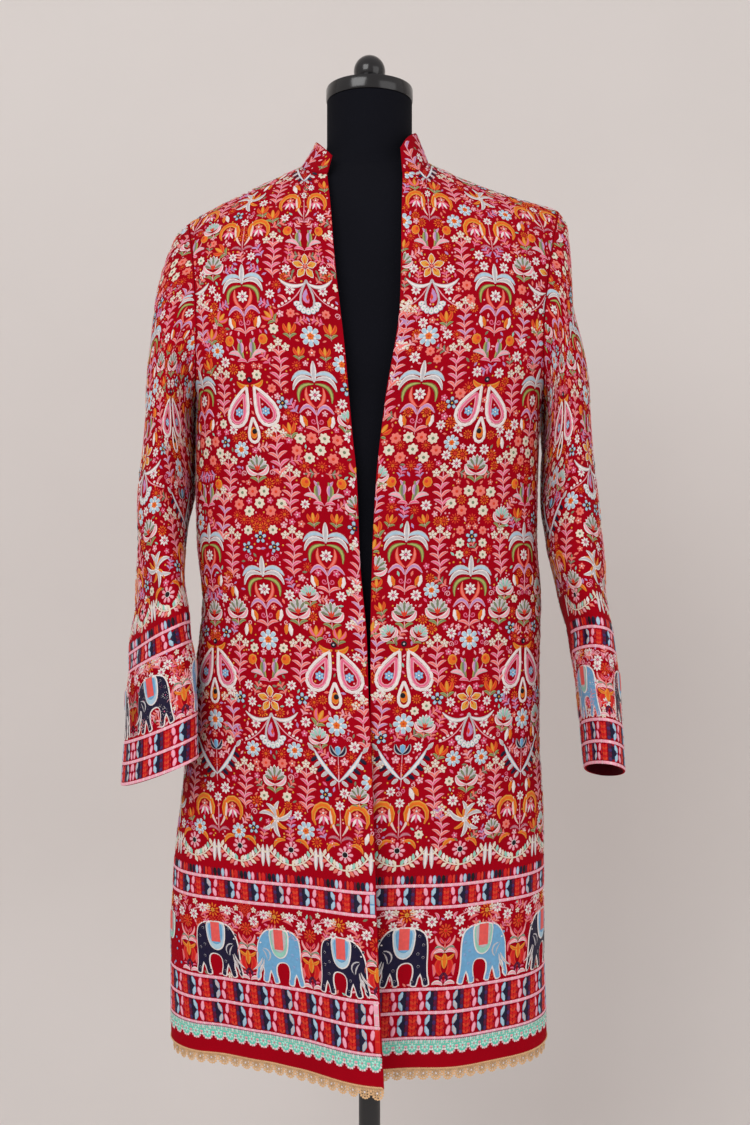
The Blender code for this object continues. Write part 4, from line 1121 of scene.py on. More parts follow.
def pansy(spot):
    spot.ring(5, 0.6, 7.0, 5.4, ICE, NAVY)
    spot.ring(5, 0.4, 3.8, 2.4, NAVY, lift=0.4, kind="seed")
    spot.bead(0, 0, 2.4, GOLD, lift=0.9)


# Covering a field. Heights and radii are in millimetres; only a column that looks for room needs radii.
Growth = namedtuple("Growth", "draw height radius", defaults=[0])
MAIN_COLUMN = [Growth(arch_pair, 54), Growth(comb_fan, 58), Growth(rosette, 28), Growth(paisley_pair, 84),
               Growth(carnation, 42), Growth(plume, 88), Growth(bud_spray, 36), Growth(blossom_cluster, 46),
               Growth(plume, 88), Growth(rosette, 28), Growth(star_swag, 74), Growth(bud_spray, 36)]
OTHER_COLUMN = [Growth(lily, 48), Growth(carnation, 42), Growth(star_swag, 74), Growth(bud_spray, 36),
                Growth(rosette, 28), Growth(plume, 88), Growth(pansy, 16), Growth(blossom_cluster, 46),
                Growth(carnation, 42), Growth(paisley_pair, 84), Growth(bud_spray, 36), Growth(plume, 88),
                Growth(arch_pair, 54)]
SIDE_COLUMN = [Growth(lily, 50, 19), Growth(carnation, 42, 14), Growth(star_swag, 70, 30),
               Growth(vine, 62, 12), Growth(vine, 62, 12), Growth(small_tulip, 26, 9),
               Growth(vine, 62, 12), Growth(rosette, 28, 12), Growth(carnation, 42, 14),
               Growth(pansy, 16, 8), Growth(vine, 62, 12)]
COLUMN_PITCH, GROWTH_GAP, GROWTH_STEP, TALL_FIELD = 74.0, 2, 4, 200      # mm


class Field:
    """What is already stitched on a panel, on a one millimetre raster."""

    PAD = 14

    def __init__(self, work, low, high):
        panel = work.panel
        self.work, self.panel, self.low, self.high = work, panel, low, high
        self.wide = int(panel.high_u - panel.low_u) + 2 * self.PAD
        self.tall = int(panel.high_v) + 2 * self.PAD
        u, v = np.meshgrid(np.arange(self.wide) - self.PAD + panel.low_u, np.arange(self.tall) - self.PAD,
                           indexing="ij")
        self.cloth = panel.read(u, v)[2] & (v >= low) & (v <= high)
        self.taken = (v < low) | (v > high)
        self.seen = {kind: 0 for kind in work.marks}
        self.seen_lines = 0

    def cell(self, u, v):
        return int(round(u - self.panel.low_u)) + self.PAD, int(round(v)) + self.PAD

    def on_cloth(self, u, v):
        i, j = self.cell(u, v)
        return 0 <= i < self.wide and 0 <= j < self.tall and self.cloth[i, j]

    def window(self, u, v, radius):
        i, j = self.cell(u, v)
        r = int(np.ceil(radius))
        if i - r < 0 or j - r < 0 or i + r >= self.wide or j + r >= self.tall:
            return None
        a, b = np.ogrid[-r:r + 1, -r:r + 1]
        near = self.taken[i - r:i + r + 1, j - r:j + r + 1]
        return near, a * a + b * b <= radius * radius, self.cloth[i, j]

    def free(self, u, v, radius):
        got = self.window(u, v, radius)
        return got is not None and got[2] and not (got[0] & got[1]).any()

    def take(self, u, v, radius):
        got = self.window(u, v, radius)
        if got is not None:
            np.logical_or(got[0], got[1], out=got[0])

    def note_stitches(self, room=1.0):
        """Mark what was stitched on the cloth since the last call as taken."""
        for kind, marks in self.work.marks.items():
            for u, v, turn, length, width, *_ in marks[self.seen[kind]:]:
                middle = 0.0 if kind in ("disc", "bead") else length / 2
                ends = [(u + away * cos(turn), v + away * sin(turn))
                        for away in (middle - length / 2, middle + length / 2)]
                if not all(self.on_cloth(*end) for end in ends):
                    continue
                reach = max(abs(length) - abs(width), 0) / 2
                for k in (-1, 0, 1):
                    away = middle + k * reach * 0.8
                    self.take(u + away * cos(turn), v + away * sin(turn), abs(width) / 2 * 0.85 + room)
            self.seen[kind] = len(marks)
        for path, width, *_ in self.work.lines[self.seen_lines:]:
            for u, v in path:
                if self.on_cloth(u, v):
                    self.take(u, v, width / 2 * 0.8 + room)
        self.seen_lines = len(self.work.lines)

    def climb(self, u, growths, start, check):
        """Put upright motifs one over the other along a column."""
        v, number = start, 0
        while v < self.high:
            growth = growths[number % len(growths)]
            middle = v + growth.height / 2
            if not check or self.free(u, middle, growth.radius * 0.8):
                growth.draw(Spot(self.work, u, middle))
                v += growth.height + GROWTH_GAP
                number += 1
                if check:
                    self.note_stitches()
            else:
                v += GROWTH_STEP
                if number % len(growths) == 0 or int(v) % 3 == 0:
                    number += 1

    def scatter(self, rng, axes, fills, per):
        """Try many places, with a mirrored partner over the nearest column, and fill the free ones."""
        low, high = (self.panel.low_u, self.low), (self.panel.high_u, self.high)
        for fill in fills:
            for u, v in rng.uniform(low, high, (int(per * fill.tries), 2)):
                size = rng.uniform(*fill.sizes)
                draw = fill.draws[rng.integers(len(fill.draws))]
                turn = rng.normal(0, fill.lean)
                axis = axes[np.abs(axes - u).argmin()]
                for place, flip in ((u, 1), (2 * axis - u, -1)):
                    if self.free(place, v, fill.radius * size):
                        self.take(place, v, fill.radius * size + 0.4)
                        draw(Spot(self.work, place, v, turn * flip, size, flip))


def leaflet(spot):
    tints = (SALMON, PINK, BLUSH, LILAC, SAGE, BLUSH, SALMON, MINT)
    spot.put("seed", -3, 0, 0, 6.4, 2.7, tints[int(spot.u * 7 + spot.v) % len(tints)])


def dot(spot):
    spot.bead(0, 0, 2.2, BLUSH if int(spot.u) % 2 else GOLD)


def tinted(draw, *tints):
    return lambda spot: draw(spot, *tints)


# What is strewn over a field: radius in millimetres, tries per thousand square millimetres, turn and size.
Fill = namedtuple("Fill", "draws radius tries lean sizes")
FIELD_FILL = [
    Fill([vine, tinted(vine, SALMON, LILAC)], 13.5, 5, 0.05, (0.9, 1.1)),
    Fill([carnation, rosette, small_tulip, tinted(carnation, MINT, PEARL)], 11.5, 7, 0.25, (0.75, 0.95)),
    Fill([hanging_bud, small_tulip, pansy, tinted(small_tulip, PINK)], 8.0, 12, 0.25, (0.9, 1.1)),
    Fill([daisy, daisy, daisy, blossom, tinted(blossom, SALMON, CORAL)], 6.6, 22, 0.25, (0.8, 1.05)),
    Fill([sprig, tinted(sprig, PINK, LILAC), tinted(sprig, SAGE, SALMON), two_curls,
          tinted(sprig, SALMON, PINK)], 5.8, 34, 0.9, (0.75, 0.95)),
    Fill([posy, tinted(posy, BLUSH), tinted(posy, SALMON), lined_flower,
          tinted(lined_flower, CORAL, ORANGE)], 4.0, 36, 0.25, (0.75, 1.0)),
    Fill([leaflet], 2.8, 60, 1.5, (0.8, 1.1)),
    Fill([dot], 1.6, 30, 3.0, (0.9, 1.1)),
]
ELEPHANT_FILL = [
    Fill([daisy, two_curls], 6.2, 20, 0.25, (0.75, 0.9)),
    Fill([sprig, tinted(sprig, PINK, SALMON)], 5.0, 25, 0.9, (0.7, 0.85)),
    Fill([tinted(posy, CREAM), tinted(lined_flower, CORAL)], 3.6, 25, 0.25, (0.7, 0.9)),
    Fill([leaflet], 2.6, 50, 1.5, (0.8, 1.0)),
]


def fill_field(work, low, seed, density, first):
    """Grow columns of motifs up a panel and fill the rest with flowers, sprigs, curls and dots."""
    panel = work.panel
    field = Field(work, low, panel.high_v)
    axes = [first]
    while axes[-1] < panel.high_u:
        axes.append(axes[-1] + COLUMN_PITCH)
    while axes[0] > panel.low_u:
        axes.insert(0, axes[0] - COLUMN_PITCH)
    axes = np.array(axes)
    if panel.high_v > TALL_FIELD:
        for u in axes:
            odd = round((u - first) / COLUMN_PITCH) % 2
            field.climb(u, OTHER_COLUMN if odd else MAIN_COLUMN, low + 2, False)
        field.note_stitches()
        for u in axes + COLUMN_PITCH / 2:
            field.climb(u, SIDE_COLUMN, low + 3, True)
    field.scatter(np.random.default_rng(seed), axes, FIELD_FILL, field.cloth.sum() / 1000.0 * density)


# The bands.
CORD_STEP = 2.6                          # mm from bead to bead
CHEVRON_WIDE = 32.0                      # width of a drawn chevron repeat
ELEPHANT_TALL, ELEPHANT_WIDE = 87.0, 84.0    # drawn size of an elephant with its plants


def cord(work, low, high, v, one=ROPE, two=WHITE, width=3.7):
    """A couched cord of small beads along a band's edge."""
    count = int((high - low) / CORD_STEP)
    pale = tuple(0.55 * a + 0.45 * b for a, b in zip(one, two))
    for k in range(count):
        u = low + (k + 0.5) * (high - low) / count
        work.mark("bead", u, v, 0.5, 4.2, width * (1.0 if k % 3 else 1.08), pale if k % 4 == 1 else one,
                  high=0.9)


def chevrons(work, low, high, v0, v1, period, toward):
    """Upright rows that repeat: a pink figure of eight, a blue arrow, a navy block, a red feather."""
    count = max(1, round((high - low) / period))
    size = (high - low) / count / CHEVRON_WIDE
    tall, middle = v1 - v0, (v0 + v1) / 2
    for k in range(count):
        start = low + k * CHEVRON_WIDE * size if toward > 0 else high - k * CHEVRON_WIDE * size

        def put(kind, x, up, turn, length, width, *tints, **more):
            u, v = start + toward * x * size, v0 + tall * up
            work.mark(kind, u, v, turn, length, width, *tints, **more)

        for j in (0, 1):
            put("oval", 2.8, 0.01 + 0.49 * j, pi / 2 + toward * (0.2 if j else -0.2), tall * 0.5, 5.2,
                ROPE, PINK)
            angle = (1 if j else -1) * radians(70)
            work.mark("leaf", start + toward * 9.0 * size, middle, angle if toward > 0 else pi - angle,
                      tall * 0.52, 5.0, ICE if k % 3 else PEARL, SKY, lift=0.3)
        put("block", 14.0, 0.03, pi / 2, tall * 0.94, 6.4, NAVY, BLACK, high=0.4)
        put("block", 19.4, 0.03, pi / 2, tall * 0.94, 3.6, PLUM, NAVY, high=0.3)
        for j in range(4):
            put("oval", 16.6, 0.13 + 0.245 * j, 0 if toward > 0 else pi, 4.6, tall * 0.24,
                PLUM if j % 2 else SHADE, NAVY, lift=0.2, high=0.4)
        for j in range(6):
            for side in (-1, 1):
                put("seed", 26.0, 0.02 + 0.145 * j, radians(90 - 40 * side), tall * 0.25, 3.2,
                    (CORAL, SCARLET)[j % 2])
        for j in range(3):
            put("oval", 30.6, 0.02 + 0.32 * j, pi / 2, tall * 0.32, 2.2, SCARLET, PLUM)


STRIPE_GAP = 2.4
STRIPES = ((ROPE, 4.6), (ICE, 4.8), (NAVY, 5.4), (BLACK, 5.0), (PLUM, 2.4), (SCARLET, 5.8), (CORAL, 3.2),
           (PLUM, 2.6))


def short_stripes(work, low, high, v0, v1, period, toward):
    """Short upright stripes under the field."""
    total = sum(width for _, width in STRIPES) + STRIPE_GAP
    count = max(1, round((high - low) / period))
    size = (high - low) / count / total
    for k in range(count):
        x = STRIPE_GAP / 2
        for tint, width in STRIPES:
            u = low + (k * total + x + width / 2) * size
            if toward < 0:
                u = low + high - u
            work.mark("oval", u, v0, pi / 2, v1 - v0, width * size * 0.94, tint,
                      {ROPE: PINK, ICE: SKY}.get(tint, tint))
            x += width


def garland(work, low, high, v0, period):
    """Swags of leaf pairs with white drops between, and a dark-hearted flower in each."""
    count = max(1, round((high - low) / period))
    step = (high - low) / count
    for k in range(count):
        spot = Spot(work, low + (k + 0.5) * step, v0)
        half = step * 0.46
        path = [(x, 3 + 19 * (abs(x) / half) ** 2.2) for x in np.linspace(-half, half, 15)]
        spot.stem(path, 1.6, CREAM)
        for j, (x, y) in enumerate(path[1:-1]):
            slope = np.arctan2(path[j + 2][1] - path[j][1], path[j + 2][0] - path[j][0])
            way = 0 if x > 0 else pi
            for side, tint in ((-1, (CREAM, BLUSH, SALMON)[j % 3]), (1, (CREAM, MINT, WHITE)[j % 3])):
                spot.put("seed", x, y, slope + way + (side if x > 0 else -side) * radians(58), 8.4, 4.0, tint)
        flower = spot.inner(0, 20, 1.0)
        flower.ring(8, 2.4, 7.0, 4.6, BLUSH, PINK)
        flower.put("disc", 0, 0, 0, 7.2, 7.2, BLACK, WHITE, lift=0.4)
        spot.fronds((6, 30), (20, 22), 4, 4.6, ORANGE, GOLD)
        spot.fronds((half, 24), (half - 1, 0), 0, 5.2, WHITE, PEARL, steps=5)


SADDLE_DOTS = ((20, 24), (25, 14), (19, 4), (25, 0), (20, -10), (28, -25), (14, -27), (-15, 26), (-25, 20),
               (-14, 3), (-20, -25), (-6, -26), (-8, -14))


def elephant(spot, coat, dots, border, blanket, heart):
    """A walking elephant in a blanket, with white outlines and small dots."""
    spot.patch("elephant", 0, 0, 1.0, coat, WHITE)
    spot.patch("blanket", 1, 16, 1.0, border, WHITE, lift=0.6)
    spot.patch("blanket", 1, 18.5, 0.72, blanket, blanket, lift=1.1)
    spot.put("block", 1, 9, pi / 2, 24, 12, heart, heart, lift=1.7, high=0.4)
    for x, y in SADDLE_DOTS:
        spot.put("disc", x - 1.6, y, 0, 3.2, 3.2, coat, dots, lift=0.5, high=0.4)
    spot.frond((-23, -3), (-37, -19), 2.4, 2.6, PEARL, WHITE, lift=0.7, steps=5)
    spot.frond((-21, -4), (-30, -25), 1.6, 2.6, PEARL, WHITE, lift=0.7, steps=5)
    spot.frond((-22, 8), (-16, -6), 4.0, 8.0, coat, PEARL, lift=0.6, steps=6)
    spot.put("bead", -24, 15, 0, 2.4, 2.0, WHITE, lift=0.6)


def pot_plant(spot):
    """A dark-footed tulip between curling leaves, under a sunflower."""
    spot.fronds((1, 0), (0.6, -25), 7.0, 8.0, SCARLET, CORAL)
    spot.fronds((0.3, -20), (4, -30), 1.0, 4.0, PLUM, NAVY, lift=0.4)
    spot.frond((0, -15), (0, 3), 0, 7.4, ORANGE, GOLD, lift=0.6)
    spot.fronds((0.5, -4), (12, 2), -1.6, 4.0, ORANGE, GOLD, lift=0.5)
    spot.fronds((0.5, 4), (13, 3), 3.2, 4.4, BLUSH, WHITE, lift=0.4)
    spot.fronds((0.5, 7), (12, 9), 3.2, 3.6, SAGE, MINT)
    spot.fronds((1, 10), (12, 24), -3.0, 3.8, BLUSH, SALMON)
    spot.fronds((3, 9), (15, -5), 5.0, 4.2, SALMON, PINK)
    spot.fronds((14, -10), (12, -24), -1.4, 4.0, SALMON, PINK)
    spot.fronds((1, -32), (11, -26), 2.6, 2.4, PINK)
    spot.fronds((1, -35), (14, -34), 3.0, 5.0, BLUSH, WHITE)
    spot.stem([(0, 6), (0, 12), (0, 18)], 1.6, SALMON)
    spot.fronds((0.5, 15), (6, 22), -1.4, 3.6, CORAL, PINK)
    flower = spot.inner(0, 30, 1.0)
    flower.ring(10, 2.8, 5.6, 2.8, CORAL, ORANGE)
    flower.put("disc", 0, 0, 0, 5.6, 5.6, SCARLET, ORANGE, lift=0.3)


def elephant_band(work, low, high, v0, v1, period, toward):
    """Elephants in turn dark and light with plants between them, and flowers over and round them."""
    field = Field(work, v0 + 1, v1 - 1)
    count = max(1, round((high - low) / period))
    step = (high - low) / count
    size = min((v1 - v0) / ELEPHANT_TALL, step / ELEPHANT_WIDE)
    foot = v0 + 33.5 * size
    for k in range(count):
        u = low + (k + 0.5) * step if toward > 0 else high - (k + 0.5) * step
        dark = k % 2 == 0
        spot = Spot(work, u, foot, 0, size * 0.99, toward if dark else -toward)
        if dark:
            elephant(spot, NAVY, PEARL, ICE, SKY, ROSE)
        else:
            elephant(spot, SKY, LILAC, MINT, PEARL, ROSE)
        edge = low + k * step
        for x in ((edge, high) if k == count - 1 else (edge,)):
            pot_plant(Spot(work, x, foot + 1, 0, size * 0.93))
        for side in (-1, 0, 1):
            field.take(u + side * 14 * size, foot + (2 if side else 6) * size, 22 * size)
            field.take(u + side * 24 * size, foot - 14 * size, 14 * size)
        crown = Spot(work, u, foot + 44 * size, 0, size)
        lined_flower(crown.inner(3, 3, 1.3), ORANGE, GOLD)
        for side in (-1, 1):
            crown.stem(arched((side * 6, 1), (side * 33, 0), side * 3), 1.2, BLUSH)
            crown.curl(side * 24, 5.5, 3.2, side * -1.2, radians(90 - side * 90), BLUSH)
        crown.pair(daisy, 31, -5, 1.0)
        crown.pair(daisy, 17, 4, 0.95)
        crown.pair(posy, 9.5, 6, 0.9, CREAM)
        crown.fronds((8, -1), (20, -6), 2, 3.4, SALMON, PINK)
        crown.fronds((34, 5), (38, -3), 1.5, 3.2, PINK, BLUSH)
    field.note_stitches()
    axes = low + step * np.arange(0, count + 0.5, 0.5)
    field.scatter(np.random.default_rng(int(v0 + step)), axes, ELEPHANT_FILL, field.cloth.sum() / 1000.0)


# Heights above the hem or cuff in millimetres; the last number in each row but the cords is its repeat.
Bands = namedtuple("Bands", "cords lower elephants upper stripes garland end")
HEM_BANDS = Bands((34, 62, 88, 178, 202), ((36, 60.5, 32), (64, 86.5, 32)), (90, 176.5, 86), (180, 200.5, 32),
                  (203.5, 213.5, 36), (221, 66.0), 248)
CUFF_BANDS = Bands((1.8, 25, 49, 131, 153), ((3.6, 23.4, 30), (27, 47.4, 30)), (51, 129.5, 76),
                   (133, 151.4, 30), (154.5, 165, 34), (171, 60), 198)
EDGE_BLOCKS = ((36.5, 23.5, SCARLET, CORAL), (64, 22.5, ROPE, WHITE), (180, 20.5, ICE, SKY))


def make_bands(work, low, high, bands, toward=1, edge=0.0):
    """All the bands of a hem or a cuff; blocks this wide close the rows at a front edge."""
    for v in bands.cords:
        cord(work, low, high, v)
    if edge:
        for v, tall, fill, rim in EDGE_BLOCKS:
            for k in range(2):
                work.mark("block", low + edge * 0.45, v + k * tall / 2, pi / 2, tall / 2, edge * 0.8, fill,
                          rim, high=0.8)
    for row in bands.lower:
        chevrons(work, low + edge, high, *row, toward)
    elephant_band(work, low, high, *bands.elephants, toward)
    chevrons(work, low + edge, high, *bands.upper, toward)
    short_stripes(work, low, high, *bands.stripes, toward)
    garland(work, low, high, *bands.garland)
    return bands.end


# Finishes.
class Nodes:
    """Adds shader nodes to one material; sums on sockets are written as Python."""

    def __init__(self, name):
        self.paint = bpy.data.materials.new(name)
        self.paint.use_nodes = True
        self.tree = self.paint.node_tree
        self.surface = self.tree.nodes["Principled BSDF"]

    def put(self, socket, value):
        if isinstance(value, Value):
            self.tree.links.new(value.socket, socket)
        else:
            socket.default_value = value

    def add(self, kind, output=0, **values):
        """A new node with these inputs; the value is its output."""
        node = self.tree.nodes.new(kind)
        for key, value in values.items():
            self.put(node.inputs[key], value)
        return Value(self, node.outputs[output])

    def set(self, **values):
        for key, value in values.items():
            self.put(self.surface.inputs[key.replace("_", " ")], value)

    def noise(self, scale, detail):
        """Soft noise laid out in the object's own coordinates."""
        place = self.add("ShaderNodeTexCoord", "Object")
        return self.add("ShaderNodeTexNoise", "Fac", Vector=place, Scale=scale, Detail=detail)

    def flat(self):
        """The flat coordinates of the piece, across and upward."""
        place = self.add("ShaderNodeUVMap", "UV")
        return [self.add("ShaderNodeSeparateXYZ", axis, Vector=place) for axis in ("X", "Y")]

    def attribute(self, name, output):
        found = self.add("ShaderNodeAttribute", output)
        found.socket.node.attribute_name = name
        return found

    def mix(self, share, one, two):
        node = self.tree.nodes.new("ShaderNodeMix")
        node.data_type = "RGBA"
        for place, value in ((0, share), (6, one), (7, two)):
            self.put(node.inputs[place], (*value, 1) if isinstance(value, tuple) else value)
        return Value(self, node.outputs[2])

    def bump(self, height, strength, distance):
        self.set(Normal=self.add("ShaderNodeBump", "Normal", Height=height, Strength=strength,
                                 Distance=distance))


class Value:
    """A socket that Python's operators work on."""

    def __init__(self, nodes, socket):
        self.nodes, self.socket = nodes, socket

    def _math(self, operation, *others, clamp=False):
        node = self.nodes.tree.nodes.new("ShaderNodeMath")
        node.operation, node.use_clamp = operation, clamp
        for place, value in enumerate(others):
            self.nodes.put(node.inputs[place], value)
        return Value(self.nodes, node.outputs[0])

    def __add__(self, other):
        return self._math("ADD", self, other)

    def __sub__(self, other):
        return self._math("SUBTRACT", self, other)

    def __rsub__(self, other):
        return self._math("SUBTRACT", other, self)

    def __mul__(self, other):
        return self._math("MULTIPLY", self, other)

    def sine(self):
        return self._math("SINE", self)

    def held(self):
        return self._math("ADD", self, 0.0, clamp=True)


WEAVE, SATIN = 7000.0, 9.0               # waves per metre of cloth's threads and per millimetre of stitches
# The next colour is painted shade: a dark colour mixed into the thread where shadow would lie between the
# stitches.
HOLLOW_SHADE_COLOUR = (0.05, 0.02, 0.025)               # colour in the hollows between the stitches


def shaded(colour, share):
    return tuple(part * share for part in colour)


def cloth_finish(name, colour, shade=0.55):
    """Fine plain weave in a rich colour, with slow changes of depth."""
    nodes = Nodes(name)
    slow, fine = nodes.noise(9.0, 3.0), nodes.noise(900.0, 2.0)
    share = (slow * 0.9 + fine * 0.35 - 0.1).held()
    nodes.set(Base_Color=nodes.mix(share, shaded(colour, shade), colour), Roughness=0.85,
              Specular_IOR_Level=0.04)
    across, upward = nodes.flat()
    nodes.bump((across * WEAVE).sine() * (upward * WEAVE).sine() * 0.5 + fine, 0.25, 0.0003)
    return nodes.paint


def net_finish(name, colour):
    """Thread net: rows of small round holes between paler threads."""
    nodes = Nodes(name)
    across, upward = [(flat * (pi / NET_HOLE)).sine() for flat in nodes.flat()]
    web = across * across + upward * upward
    hole = ((web - 1.22) * 9.0).held()
    thread = (1.0 - web * 0.5).held()
    nodes.set(Base_Color=nodes.mix(thread, shaded(colour, 0.55), colour), Roughness=0.7, Alpha=1.0 - hole)
    nodes.bump(thread, 0.3, 0.0004)
    return nodes.paint


def thread_finish(name):
    """Satin stitches: the thread's colour inside, the outline's colour at the rim, and painted shade in the
    hollows between the stitches.
    """
    nodes = Nodes(name)
    grain = nodes.noise(260.0, 2.0)
    outline = ((nodes.attribute("rim", "Fac") - 0.48) * 7.0).held()
    colour = nodes.mix(outline, nodes.attribute("fill", "Color"), nodes.attribute("edge", "Color"))
    # Painted shade: noise darkens the thread towards a dark colour, standing for shadow in the hollows
    # between the stitches.
    painted_hollow_shade = (grain * 1.3 - 0.35).held() * 0.30
    nodes.set(Base_Color=nodes.mix(painted_hollow_shade, colour, HOLLOW_SHADE_COLOUR), Roughness=0.42, Specular_IOR_Level=0.15)
    nodes.bump((nodes.flat()[0] * SATIN).sine() * 0.5 + grain, 0.35, 0.0003)
    return nodes.paint


def jersey_finish(name, colour):
    """Dull knitted cover."""
    nodes = Nodes(name)
    knit, slow = nodes.noise(1400.0, 1.0), nodes.noise(12.0, 2.0)
    share = (slow * 0.8 + knit * 0.4 - 0.1).held()
    nodes.set(Base_Color=nodes.mix(share, shaded(colour, 0.6), colour), Roughness=0.88,
              Specular_IOR_Level=0.10)
    nodes.bump(knit, 0.4, 0.0004)
    return nodes.paint


def hard_finish(name, colour, rough, coat=0.0):
    """Paint or lacquer with a little dust."""
    nodes = Nodes(name)
    dust = nodes.noise(35.0, 5.0)
    dusty = tuple(part * 1.8 + 0.004 for part in colour)
    nodes.set(Base_Color=nodes.mix((dust * 0.8).held(), colour, dusty), Roughness=dust * 0.16 + rough,
              Coat_Weight=coat)
    nodes.bump(dust, 0.05, 0.0005)
    return nodes.paint


def wall_finish(name, colour):
    """Plain paint that is seen through from behind."""
    nodes = Nodes(name)
    cloud = nodes.noise(3.0, 4.0)
    nodes.set(Base_Color=nodes.mix(cloud, shaded(colour, 0.93), colour), Roughness=0.9,
              Specular_IOR_Level=0.1, Alpha=1.0 - nodes.add("ShaderNodeNewGeometry", "Backfacing"))
    return nodes.paint


# Settings.
class CoatSettings(bpy.types.PropertyGroup):
    crimson: FloatVectorProperty(name="Cloth", description="Colour of the ground cloth",
                                 subtype="COLOR", size=3, default=(0.42, 0.0008, 0.010))
    lining: FloatVectorProperty(name="Lining", description="Colour of the inside",
                                subtype="COLOR", size=3, default=(0.10, 0.004, 0.012))
    density: FloatProperty(name="Stitching", description="How closely the fields are filled",
                           default=1.0, min=0.1, max=2.0)
    seed: IntProperty(name="Layout", description="Another number gives another layout of the fields",
                      default=7)


class LaceSettings(bpy.types.PropertyGroup):
    mint: FloatVectorProperty(name="Mint", description="Colour of the lace above the hem",
                              subtype="COLOR", size=3, default=TEAL)
    gold: FloatVectorProperty(name="Gold", description="Colour of the lace below the hem",
                              subtype="COLOR", size=3, default=COPPER)
    scallop: FloatProperty(name="Scallop", description="Width of one scallop in millimetres", default=14.0)


class FormSettings(bpy.types.PropertyGroup):
    jersey: FloatVectorProperty(name="Jersey", description="Colour of the form's cover",
                                subtype="COLOR", size=3, default=(0.0045, 0.005, 0.009))
    gloss: FloatVectorProperty(name="Cap and knob", description="Colour of the turned cap and knob",
                               subtype="COLOR", size=3, default=(0.003, 0.003, 0.004))


class StageSettings(bpy.types.PropertyGroup):
    room: FloatVectorProperty(name="Room", description="Colour of the light from all round",
                              subtype="COLOR", size=3, default=(0.62, 0.58, 0.565))
    floor: FloatVectorProperty(name="Floor", description="Colour of the floor",
                               subtype="COLOR", size=3, default=(0.75, 0.72, 0.70))
    key: FloatProperty(name="Main light", description="Power of the main soft light in watts", default=34.0)
    fill: FloatProperty(name="Fill light", description="Power of the other soft light in watts", default=14.0)


PANELS = {}
PAINTS = {}


def panels():
    if not PANELS:
        make_blocks()
        PANELS.update(build_panels())
    return PANELS


def paint(name, make, *values):
    if name not in PAINTS:
        PAINTS[name] = make(name, *values)
    return PAINTS[name]


def seat(thing, slot, *nodes):
    """Put a piece on the root body and hide the solids that it stands for; the slot, where its finish comes
    from, is not used.
    """
    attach(thing, "root")
    if nodes:
        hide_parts(*nodes)
    return thing


def turned(name, profile, finish, segments=96):
    """A round solid spun from half its outline."""
    shape = bmesh.new()
    corners = [shape.verts.new((turn.radius, 0, turn.z)) for turn in profile]
    edges = [shape.edges.new(pair) for pair in zip(corners, corners[1:])]
    bmesh.ops.spin(shape, geom=corners + edges, cent=(0, 0, 0), axis=(0, 0, 1), angle=2 * pi,
                   steps=segments, use_merge=True)
    bmesh.ops.remove_doubles(shape, verts=shape.verts[:], dist=1e-6)
    bmesh.ops.recalc_face_normals(shape, faces=shape.faces[:])
    return add_shape(name, shape, [finish], 38)


def point_grid(shape, points):
    """A flat grid bent to rows and columns of points; the corners come in the points' order."""
    rows, columns = points.shape[:2]
    made = bmesh.ops.create_grid(shape, x_segments=columns - 1, y_segments=rows - 1, size=1.0)["verts"]
    made.sort(key=lambda corner: (round(corner.co.y, 6), round(corner.co.x, 6)))
    for corner, point in zip(made, points.reshape(-1, 3)):
        corner.co = point
    return made


def grid_mesh(name, sheets, paints, closed, uv):
    """A closed wall between two grids of points, from two flat grids bridged at their rims."""
    rows, columns = sheets[0].shape[:2]
    shape = bmesh.new()
    layer = shape.loops.layers.uv.new("cloth")
    outer, inner = [point_grid(shape, sheet) for sheet in sheets]
    for made in (outer, inner):
        for corner, flat in zip(made, uv.reshape(-1, 2)):
            for loop in corner.link_loops:
                loop[layer].uv = flat
    faces = {face for corner in inner for face in corner.link_faces}
    bmesh.ops.reverse_faces(shape, faces=list(faces))
    for face in faces:
        face.material_index = 1

    def rim(places):
        for a, b in zip(places, places[1:]):
            face = shape.faces.new((outer[a], inner[a], inner[b], outer[b]))
            face.material_index = 0

    top = [(rows - 1) * columns + j for j in range(columns)]
    rim(list(range(columns)))
    rim(top[::-1])
    if not closed:
        rim([i * columns + columns - 1 for i in range(rows)])
        rim([i * columns for i in range(rows)][::-1])
    bmesh.ops.remove_doubles(shape, verts=shape.verts[:], dist=1e-6)
    bmesh.ops.recalc_face_normals(shape, faces=shape.faces[:])
    return add_shape(name, shape, paints, 60)


Cloth = namedtuple("Cloth", "panel width length area held")
CLOTHS = [
    Cloth("front_right", 0.40, 1.06, 0.257, "hung"),
    Cloth("front_left", 0.38, 1.06, 0.251, "hung"),
    Cloth("back", 0.60, 1.10, 0.526, "hung"),
    Cloth("sleeve_right", 0.42, 0.66, 0.194, "hung"),
    Cloth("sleeve_left", 0.42, 0.66, 0.191, "hung"),
    Cloth("collar", 0.42, 0.045, 0.0157, "hung"),
]


def drawn_back(panel):
    """Outer points with half a seam taken off the sides and shoulders."""
    outer = panel.points.copy()
    for j, k in ((0, 1), (-1, -2)):
        outer[:, j] += unit(outer[:, k] - outer[:, j]) * PIPED
    return outer


def share_side_normals(name, panel):
    """Give side and shoulder seams the same normal on both panels, so that their walls meet."""
    step = 0.002
    side_columns = {"front_right": [(-1, -1)], "front_left": [(-1, 1)], "back": [(0, -1), (-1, 1)]}
    for column, side in side_columns.get(name, []):
        z = panel.points[:, column, 2]
        low = z <= UNDERARM_Z + 1e-6
        lean = (half_width(side, z + step) - half_width(side, z - step)) / (2 * step)
        normal = unit(np.stack([np.full(len(z), float(side)), np.zeros(len(z)), -lean], axis=1))
        panel.out[low, column] = normal[low]


